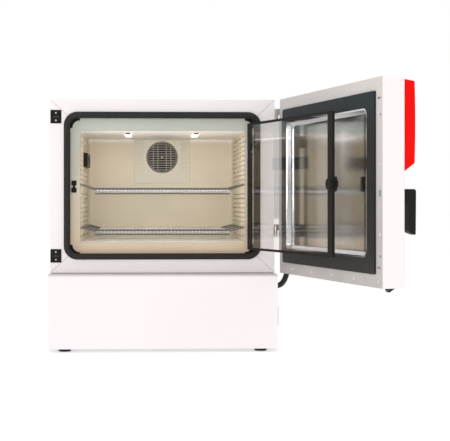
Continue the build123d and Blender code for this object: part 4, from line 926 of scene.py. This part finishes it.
def rack_tree(bar_metal, wire_metal):
    """A bent bar frame along the skeleton's edges, with a bed of even wires."""
    tree = Tree("Wire rack", (
        ("Bar radius", FLOAT, 0.0022), ("Bend radius", FLOAT, 0.006),
        ("Wire radius", FLOAT, 0.0016), ("Wire pitch", FLOAT, 0.0117),
        ("Wires", "NodeSocketInt", 38), ("Front", FLOAT, 0.0), ("Back", FLOAT, 0.0),
        ("Bed height", FLOAT, 0.0), ("Lip height", FLOAT, 0.0), ("Bed half width", FLOAT, 0.2),
    ))
    inlet, math, at = tree.inlet, tree.math, tree.at
    line = tree.add("GeometryNodeMeshToCurve", {"Mesh": inlet["Geometry"]})[0]
    bent = tree.add("GeometryNodeFilletCurve", {
        "Curve": line, "Radius": inlet["Bend radius"], "Limit Radius": True, "Count": 5},
        mode="POLY")[0]
    # Painted shade: every bar first takes the dark copy of the wire metal. Those inside the bed and behind its
    # front then take the bright one.
    frame_bars = tree.add("GeometryNodeSetMaterial", {
        "Geometry": rod_of(tree, bent, inlet["Bar radius"], 12), "Material": bar_metal})[0]
    place = tree.add("ShaderNodeSeparateXYZ", {0: tree.add("GeometryNodeInputPosition")[0]})
    aside = tree.add("ShaderNodeMath", {0: place["X"]}, operation="ABSOLUTE")[0]
    across = math("LESS_THAN", aside, inlet["Bed half width"])
    behind = math("GREATER_THAN", place["Y"], math("ADD", inlet["Front"], DARK_FRONT))
    frame_bars = tree.add("GeometryNodeSetMaterial", {
        "Geometry": frame_bars, "Selection": math("MULTIPLY", across, behind),
        "Material": wire_metal})[0]
    along = tree.add("GeometryNodeCurvePrimitiveLine", {
        "Start": at(Y=inlet["Back"], Z=inlet["Bed height"]),
        "End": at(Y=inlet["Front"], Z=inlet["Bed height"])})[0]
    down = tree.add("GeometryNodeCurvePrimitiveLine", {
        "Start": at(Y=inlet["Front"], Z=inlet["Bed height"]),
        "End": at(Y=inlet["Front"], Z=inlet["Lip height"])})[0]
    both = tree.add("GeometryNodeJoinGeometry", {0: [along, down]})[0]
    wire = rod_of(tree, both, inlet["Wire radius"], 8)
    spacing = inlet["Wire pitch"]
    gaps = math("SUBTRACT", inlet["Wires"], 1)
    first = math("MULTIPLY", spacing, math("MULTIPLY", gaps, -0.5))
    row = tree.add("GeometryNodeMeshLine", {
        "Count": inlet["Wires"], "Start Location": at(X=first), "Offset": at(X=spacing)},
        mode="OFFSET", count_mode="TOTAL")[0]
    wires = tree.add("GeometryNodeInstanceOnPoints", {"Points": row, "Instance": wire})[0]
    real = tree.add("GeometryNodeRealizeInstances", {0: wires})[0]
    bed = tree.add("GeometryNodeSetMaterial", {"Geometry": real, "Material": wire_metal})[0]
    whole = tree.add("GeometryNodeJoinGeometry", {0: [frame_bars, bed]})[0]
    done = tree.add("GeometryNodeRealizeInstances", {0: whole})[0]
    tree.tree.links.new(done, tree.outlet[0])
    return tree


def louvre_tree(material):
    """A pressed louvre on each seat."""
    tree = Tree("Pressed louvres", (("Width", FLOAT, 0.010), ("Height", FLOAT, 0.0026),
                                    ("Depth", FLOAT, 0.0016)))
    inlet = tree.inlet
    ball = tree.add("GeometryNodeMeshUVSphere", {"Segments": 12, "Rings": 6, "Radius": 0.5})["Mesh"]
    size = tree.at(X=inlet["Width"], Y=inlet["Height"], Z=inlet["Depth"])
    eyebrow = tree.add("GeometryNodeTransform", {"Geometry": ball, "Scale": size})[0]
    points = tree.add("GeometryNodeMeshToPoints", {"Mesh": inlet["Geometry"]})[0]
    louvres = tree.add("GeometryNodeInstanceOnPoints", {
        "Points": points, "Instance": eyebrow, "Rotation": facing_rotation(tree)})[0]
    tree.close(louvres, material)
    return tree


# ---- marks drawn on the shut door ------------------------------------------------------


def closed_box(node):
    """A door piece's box with the door shut."""
    turn = Matrix.Rotation(radians(-DOOR_REST), 3, "Z")
    hinge = Vector((*DOOR_PIVOT, 0))
    return box_round([turn @ (v.co - hinge) + hinge for v in frame["nodes"][node].data.vertices])


def swung_open(mesh):
    """Turns a mesh drawn on the shut door to where the door rests."""
    hinge = Matrix.Translation((*DOOR_PIVOT, 0))
    mesh.transform(hinge @ Matrix.Rotation(radians(DOOR_REST), 4, "Z") @ hinge.inverted())
    return mesh


def plaques(name, outlines, front, thick):
    """Thin raised shapes in the XZ plane, their faces at front, drawn on the shut door."""
    mesh = bmesh.new()
    for outline in outlines:
        face = mesh.faces.new([mesh.verts.new((x, front + thick, z)) for x, z in outline])
        made = bmesh.ops.extrude_face_region(mesh, geom=[face])
        moved = [v for v in made["geom"] if isinstance(v, bmesh.types.BMVert)]
        bmesh.ops.translate(mesh, verts=moved, vec=(0, -thick, 0))
    bmesh.ops.recalc_face_normals(mesh, faces=mesh.faces)
    return swung_open(finished(mesh, name))


def digit(sign, x, z):
    """The outlines of one seven-segment digit with its lower left corner at x, z."""
    w, h, t = DIGIT_WIDTH, DIGIT_HEIGHT, DIGIT_STROKE
    flat = lambda zc: [(x + t, zc - t / 2), (x + w - t, zc - t / 2), (x + w - t / 2, zc),
                       (x + w - t, zc + t / 2), (x + t, zc + t / 2), (x + t / 2, zc)]
    tall = lambda xc, z0: [(xc - t / 2, z0 + t), (xc, z0 + t / 2), (xc + t / 2, z0 + t),
                           (xc + t / 2, z0 + h / 2 - t), (xc, z0 + h / 2 - t / 2),
                           (xc - t / 2, z0 + h / 2 - t)]
    shapes = {
        "a": flat(z + h), "g": flat(z + h / 2), "d": flat(z),
        "f": tall(x, z + h / 2), "b": tall(x + w, z + h / 2),
        "e": tall(x, z), "c": tall(x + w, z),
    }
    return [shapes[k] for k in SEGMENTS[sign]]


# ---- operators -------------------------------------------------------------------------


class INCUBATOR_OT_cabinet(bpy.types.Operator):
    """Finish the casing, the base and the fixed fittings"""
    bl_idname = "incubator.cabinet"
    bl_label = "Cabinet"

    def execute(self, context):
        clad(CABINET)
        return {"FINISHED"}


class INCUBATOR_OT_chamber(bpy.types.Operator):
    """Finish the chamber, its rack runners, fan and lamps"""
    bl_idname = "incubator.chamber"
    bl_label = "Chamber"

    def execute(self, context):
        clad(CHAMBER)
        return {"FINISHED"}


class INCUBATOR_OT_doors(bpy.types.Operator):
    """Finish the outer door, the glass door and the controls"""
    bl_idname = "incubator.doors"
    bl_label = "Doors"

    def execute(self, context):
        clad(DOORS)
        return {"FINISHED"}


class INCUBATOR_OT_cooling(bpy.types.Operator):
    """Finish the cooling unit in the base"""
    bl_idname = "incubator.cooling"
    bl_label = "Cooling unit"

    def execute(self, context):
        clad(COOLING)
        return {"FINISHED"}


def screw_seat(node, low, high):
    """Where a screw's head meets its sheet, and the way the head faces."""
    middle, span = (low + high) / 2, high - low
    if node == "door_screws":
        way = Vector(DOOR_INWARD)
        return middle - way * (span.z * HEAD_SHARE / 2), way
    thin = min(range(3), key=lambda i: span[i])
    way = Vector((0, 0, 0))
    way[thin] = -1.0
    seat = middle.copy()
    seat[thin] = high[thin]
    return seat, way


class INCUBATOR_OT_screws(bpy.types.Operator):
    """Put a pan head screw on every seat of the cabinet and the door"""
    bl_idname = "incubator.screws"
    bl_label = "Screws"

    def execute(self, context):
        size = settings().screws
        for node, body, metal, share in (
            ("cabinet_screws", "cabinet", "dull_steel", CABINET_HEAD),
            ("door_screws", "main_door", "painted_screw", 1.0),
        ):
            tree = screw_tree(finish(metal))
            points, facings = [], []
            for low, high in islands(node):
                if high.z - low.z > STUD_HEIGHT:
                    continue
                point, way = screw_seat(node, low, high)
                points.append(point + way * size.height * 0.5)
                facings.append(way)
            heads = seats(node.replace("_screws", "_screw_heads"), points, facings)
            tree.put_on(heads, {
                "Head radius": size.head * share, "Head height": size.height,
                "Recess depth": size.recess,
            })
            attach(heads, body)
            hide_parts(node)
        piece_of("door_stud", tall_solids("door_screws", STUD_HEIGHT), finish("key_plastic"),
                 "main_door")
        return {"FINISHED"}


class INCUBATOR_OT_hose(bpy.types.Operator):
    """Lay the cable hose from the door to the base"""
    bl_idname = "incubator.hose"
    bl_label = "Cable hose"

    def execute(self, context):
        size = settings().hose
        curve = bpy.data.curves.new("cable_hose", "CURVE")
        curve.dimensions = "3D"
        line = curve.splines.new("NURBS")
        line.points.add(len(HOSE_ROUTE) - 1)
        for point, place in zip(line.points, HOSE_ROUTE):
            point.co = (*place, 1)
        line.order_u = 3
        line.use_endpoint_u = True
        curve.resolution_u = 16
        guide = shown("hose_guide", curve)
        path = [v.co.copy() for v in meshed(guide).vertices]
        curve.bevel_depth = size.diameter / 2
        curve.bevel_resolution = 8
        curve.use_fill_caps = True
        curve.materials.append(finish("soft_rubber"))
        hose = shown("cable_hose", meshed(guide))
        hose.data.shade_smooth()
        bpy.data.objects.remove(guide)
        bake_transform(hose)
        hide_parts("hose")
        return {"FINISHED"}


def lay_floor():
    mesh = bpy.data.meshes.new("floor")
    corners = ((-1, -1), (1, -1), (1, 1), (-1, 1))
    mesh.from_pydata([(x * FLOOR_REACH, y * FLOOR_REACH, 0) for x, y in corners],
                     [], [(0, 1, 2, 3)])
    floor = shown("floor", mesh)
    material, tree, shader = blank("pale_floor")
    pale = clouded(tree, (0.93, 0.93, 0.93), (0.90, 0.90, 0.90), 2.0, 2.0)
    tree.links.new(pale, shader.inputs["Base Color"])
    shader.inputs["Roughness"].default_value = 0.9
    shader.inputs["Emission Color"].default_value = WHITE
    shader.inputs["Emission Strength"].default_value = FLOOR_GLOW
    mesh.materials.append(material)


def light_surround(scene, strength):
    """A dim white surround for the light, and a plain white one for the camera."""
    world = scene.world or bpy.data.worlds.new("surround")
    scene.world = world
    world.use_nodes = True
    tree = world.node_tree
    back = tree.nodes["Background"]
    back.inputs["Color"].default_value = WHITE
    back.inputs["Strength"].default_value = strength
    seen = add_node(tree, "ShaderNodeBackground", {"Color": WHITE})
    ray = tree.nodes.new("ShaderNodeLightPath")
    either = add_node(tree, "ShaderNodeMixShader", {
        0: ray.outputs["Is Camera Ray"], 1: back.outputs[0], 2: seen.outputs[0],
    })
    tree.links.new(either.outputs[0], tree.nodes["World Output"].inputs["Surface"])


def area_light(name, size, power):
    data = bpy.data.lights.new(name, "AREA")
    data.size = size
    data.energy = power
    light = shown(name, data)
    light.visible_glossy = False
    return light


def set_lights(stage):
    low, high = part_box("chamber_flange")
    mouth = area_light("mouth_light", (high.x - low.x) * MOUTH_SHARE[0], stage.mouth)
    mouth.data.shape = "RECTANGLE"
    mouth.data.size_y = (high.z - low.z) * MOUTH_SHARE[1]
    mouth.data.color = MOUTH_COLOUR
    mouth.location = (0, low.y + MOUTH_DEPTH, (low.z + high.z) / 2)
    mouth.rotation_euler = (radians(90), 0, 0)
    mouth.visible_camera = mouth.visible_transmission = False
    for name, place, size, power in (
        ("front_light", FRONT_PLACE, FRONT_SIZE, stage.front),
        ("side_light", SIDE_PLACE, SIDE_SIZE, stage.side),
    ):
        light = area_light(name, size, power)
        light.location = place
        light.rotation_euler = (LIGHT_AIM - place).to_track_quat("-Z", "Y").to_euler()


def set_camera(scene, lens):
    camera = bpy.data.cameras.new("camera")
    camera.lens = lens
    camera.sensor_width = SENSOR_WIDTH
    camera.shift_x = tan(radians(VIEW_SIDE - VIEW_YAW)) * lens / SENSOR_WIDTH
    camera.shift_y = LENS_RISE
    eye = shown("camera", camera)
    eye.location = CAMERA_PLACE
    eye.rotation_euler = (radians(90), 0, radians(-VIEW_YAW))
    scene.camera = eye
    scene.view_settings.view_transform = "Standard"


class INCUBATOR_OT_stage(bpy.types.Operator):
    """Set up the floor, the soft lights and the camera"""
    bl_idname = "incubator.stage"
    bl_label = "Stage"

    def execute(self, context):
        lay_floor()
        light_surround(context.scene, settings().stage.sky)
        set_lights(settings().stage)
        set_camera(context.scene, settings().stage.lens)
        return {"FINISHED"}


class INCUBATOR_OT_racks(bpy.types.Operator):
    """Bend the two wire racks"""
    bl_idname = "incubator.racks"
    bl_label = "Wire racks"

    def execute(self, context):
        size = settings().rack
        tree = rack_tree(finish("rack_bar"), finish("rack_wire"))
        for node, body, drop in (
            ("rack_upper", "upper_rack", RACK_DROPS[0]),
            ("rack_lower", "lower_rack", RACK_DROPS[1]),
        ):
            low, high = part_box(node)
            rail_x, rail_z = high.x - size.rail, high.z - size.rail
            bed_x, bed_z = high.x - size.inset, rail_z - drop
            bar_z = bed_z - size.wire - size.bar
            lip_z = low.z + size.bar
            front, back = low.y + size.bar, high.y - size.wire
            bars = (front + FIRST_BAR, front + (back - front) / 3,
                    front + (back - front) * 2 / 3, back - LAST_BAR)
            lines = [[(-rail_x, y, rail_z), (-bed_x, y, bar_z), (bed_x, y, bar_z),
                      (rail_x, y, rail_z)] for y in bars]
            lines += [[(x, front + RAIL_START, rail_z), (x, back, rail_z)]
                      for x in (-rail_x, rail_x)]
            lines += [[(-bed_x, front, z), (bed_x, front, z)] for z in (bed_z, lip_z)]
            points, edges = [], []
            for chain in lines:
                start = len(points)
                points += chain
                edges += [(start + i, start + i + 1) for i in range(len(chain) - 1)]
            mesh = bpy.data.meshes.new(node + "_wire")
            mesh.from_pydata(points, edges, [])
            rack = shown(node + "_wire", mesh)
            tree.put_on(rack, {
                "Bar radius": size.bar, "Bend radius": RACK_BEND, "Wire radius": size.wire,
                "Wire pitch": size.pitch, "Wires": int(2 * (bed_x - size.bar) / size.pitch) + 1,
                "Front": front, "Back": back, "Bed height": bed_z, "Lip height": lip_z,
                "Bed half width": bed_x - BED_MARGIN,
            })
            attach(rack, body)
            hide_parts(node)
        return {"FINISHED"}


class INCUBATOR_OT_cover(bpy.types.Operator):
    """Press the louvres beside the fan's grille"""
    bl_idname = "incubator.cover"
    bl_label = "Fan cover louvres"

    def execute(self, context):
        size = settings().cover
        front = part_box("fan_cover")[0].y
        axis = joint_named("chamber_fan_spin")["pos_m"]
        points = []
        for side in (-1, 1):
            for column in range(2):
                x = axis[0] + side * (size.near + column * size.step)
                for row in range(size.rows):
                    z = axis[2] + (row - (size.rows - 1) / 2) * size.pitch
                    points.append((x, front, z))
        louvres = seats("cover_louvres", points, [(0, -1, 0)] * len(points))
        louvre_tree(finish("duct_steel")).put_on(louvres, {
            "Width": size.width, "Height": LOUVRE_HEIGHT, "Depth": LOUVRE_DEPTH})
        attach(louvres, "cabinet")
        return {"FINISHED"}


class INCUBATOR_OT_readout(bpy.types.Operator):
    """Light the temperature on the display and mark the keys"""
    bl_idname = "incubator.readout"
    bl_label = "Readout"

    def execute(self, context):
        low, high = closed_box("display_panel")
        step = DIGIT_WIDTH + DIGIT_GAP
        x = (low.x + high.x) / 2 - (3 * step - DIGIT_GAP) / 2 - DIGITS_ASIDE
        z = (low.z + high.z) / 2 - DIGIT_HEIGHT / 2
        outlines = []
        for i, sign in enumerate("370"):
            outlines += digit(sign, x + i * step, z)
        dot = x + 2 * step - DIGIT_GAP / 2
        outlines.append([(dot + DOT_HALF * i, z + DOT_HALF * k)
                         for i, k in ((-1, -1), (1, -1), (1, 1), (-1, 1))])
        mesh = plaques("readout", outlines, low.y - PROUD, 2 * PROUD)
        piece_of("readout", mesh, finish("readout_glow"), "main_door")
        for node, body, sides, start in (
            ("key_up", "up_key", 3, 90),
            ("key_down", "down_key", 3, 270),
            ("key_set", "set_key", 20, 0),
        ):
            low, high = closed_box(node)
            centre = (low + high) / 2
            reach = (high.z - low.z) * MARK_SHARE
            turns = [radians(start) + 2 * pi * k / sides for k in range(sides)]
            shape = [(centre.x + reach * cos(t), centre.z + reach * sin(t)) for t in turns]
            mesh = plaques(node + "_mark", [shape], low.y - PROUD, MARK_THICKNESS)
            piece_of(node + "_mark", mesh, finish("powder_coat"), body)
        return {"FINISHED"}


class INCUBATOR_OT_bumper(bpy.types.Operator):
    """Round the rubber bumper under the door"""
    bl_idname = "incubator.bumper"
    bl_label = "Door bumper"

    def execute(self, context):
        bumper = piece_of("rubber_bumper", tall_solids("door_bumper", 0.0), finish("soft_rubber"),
                          "main_door")
        bevel = bumper.modifiers.new("Rounded", "BEVEL")
        bevel.width, bevel.segments = BUMPER_ROUND, 3
        settled(bumper)
        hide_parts("door_bumper")
        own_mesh(bumper)
        return {"FINISHED"}


class INCUBATOR_OT_clips(bpy.types.Operator):
    """Set the dark clip in front of each ceiling lamp"""
    bl_idname = "incubator.clips"
    bl_label = "Lamp clips"

    def execute(self, context):
        mesh = bmesh.new()
        for low, high in islands("chamber_lamps"):
            width = (high.x - low.x) * CLIP_SHARE
            centre = ((low.x + high.x) / 2, low.y - CLIP_AHEAD, high.z - CLIP_DROP)
            box = bmesh.ops.create_cube(mesh, size=1.0)
            for vert in box["verts"]:
                for i, size in enumerate((width, CLIP_DEPTH, CLIP_HEIGHT)):
                    vert.co[i] = centre[i] + vert.co[i] * size
        bmesh.ops.bevel(mesh, geom=mesh.edges[:], offset=CLIP_ROUND, segments=2, affect="EDGES")
        data = finished(mesh, "lamp_clips")
        piece_of("lamp_clips", data, finish("black_plastic"), "cabinet")
        return {"FINISHED"}


PROPERTY_GROUPS = (
    ("finish", IncubatorFinishSettings), ("hose", IncubatorHoseSettings),
    ("screws", IncubatorScrewSettings), ("rack", IncubatorRackSettings),
    ("cover", IncubatorCoverSettings), ("stage", IncubatorStageSettings),
)


class IncubatorSettings(bpy.types.PropertyGroup):
    finish: PointerProperty(type=IncubatorFinishSettings, name="Finishes", description="Colours")
    hose: PointerProperty(type=IncubatorHoseSettings, name="Hose", description="Cable hose")
    screws: PointerProperty(type=IncubatorScrewSettings, name="Screws", description="Screw heads")
    rack: PointerProperty(type=IncubatorRackSettings, name="Racks", description="Wire racks")
    cover: PointerProperty(type=IncubatorCoverSettings, name="Fan cover", description="Louvres")
    stage: PointerProperty(type=IncubatorStageSettings, name="Stage", description="Lights, camera")


OPERATORS = (
    INCUBATOR_OT_stage, INCUBATOR_OT_hose, INCUBATOR_OT_cabinet, INCUBATOR_OT_chamber,
    INCUBATOR_OT_doors, INCUBATOR_OT_cooling, INCUBATOR_OT_racks, INCUBATOR_OT_screws,
    INCUBATOR_OT_cover, INCUBATOR_OT_clips, INCUBATOR_OT_bumper, INCUBATOR_OT_readout,
)


class INCUBATOR_PT_panel(bpy.types.Panel):
    """The incubator's sizes, colours and pieces"""
    bl_idname = "INCUBATOR_PT_panel"
    bl_label = "Incubator"
    bl_space_type = "VIEW_3D"
    bl_region_type = "UI"
    bl_category = "Incubator"

    def draw(self, context):
        every = context.scene.incubator
        for name, group_class in PROPERTY_GROUPS:
            box = self.layout.box()
            part = getattr(every, name)
            for field in group_class.__annotations__:
                box.prop(part, field)
        for operator in OPERATORS:
            self.layout.operator(operator.bl_idname)


CLASSES = tuple(c for _, c in PROPERTY_GROUPS) + (IncubatorSettings,) + OPERATORS + (
    INCUBATOR_PT_panel,)


def register():
    for each in CLASSES:
        bpy.utils.register_class(each)
    bpy.types.Scene.incubator = PointerProperty(type=IncubatorSettings)


def unregister():
    del bpy.types.Scene.incubator
    for each in reversed(CLASSES):
        bpy.utils.unregister_class(each)


def main():
    register()
    for operator in OPERATORS:
        space, name = operator.bl_idname.split(".")
        getattr(getattr(bpy.ops, space), name)()


if __name__ == "__main__":
    main()
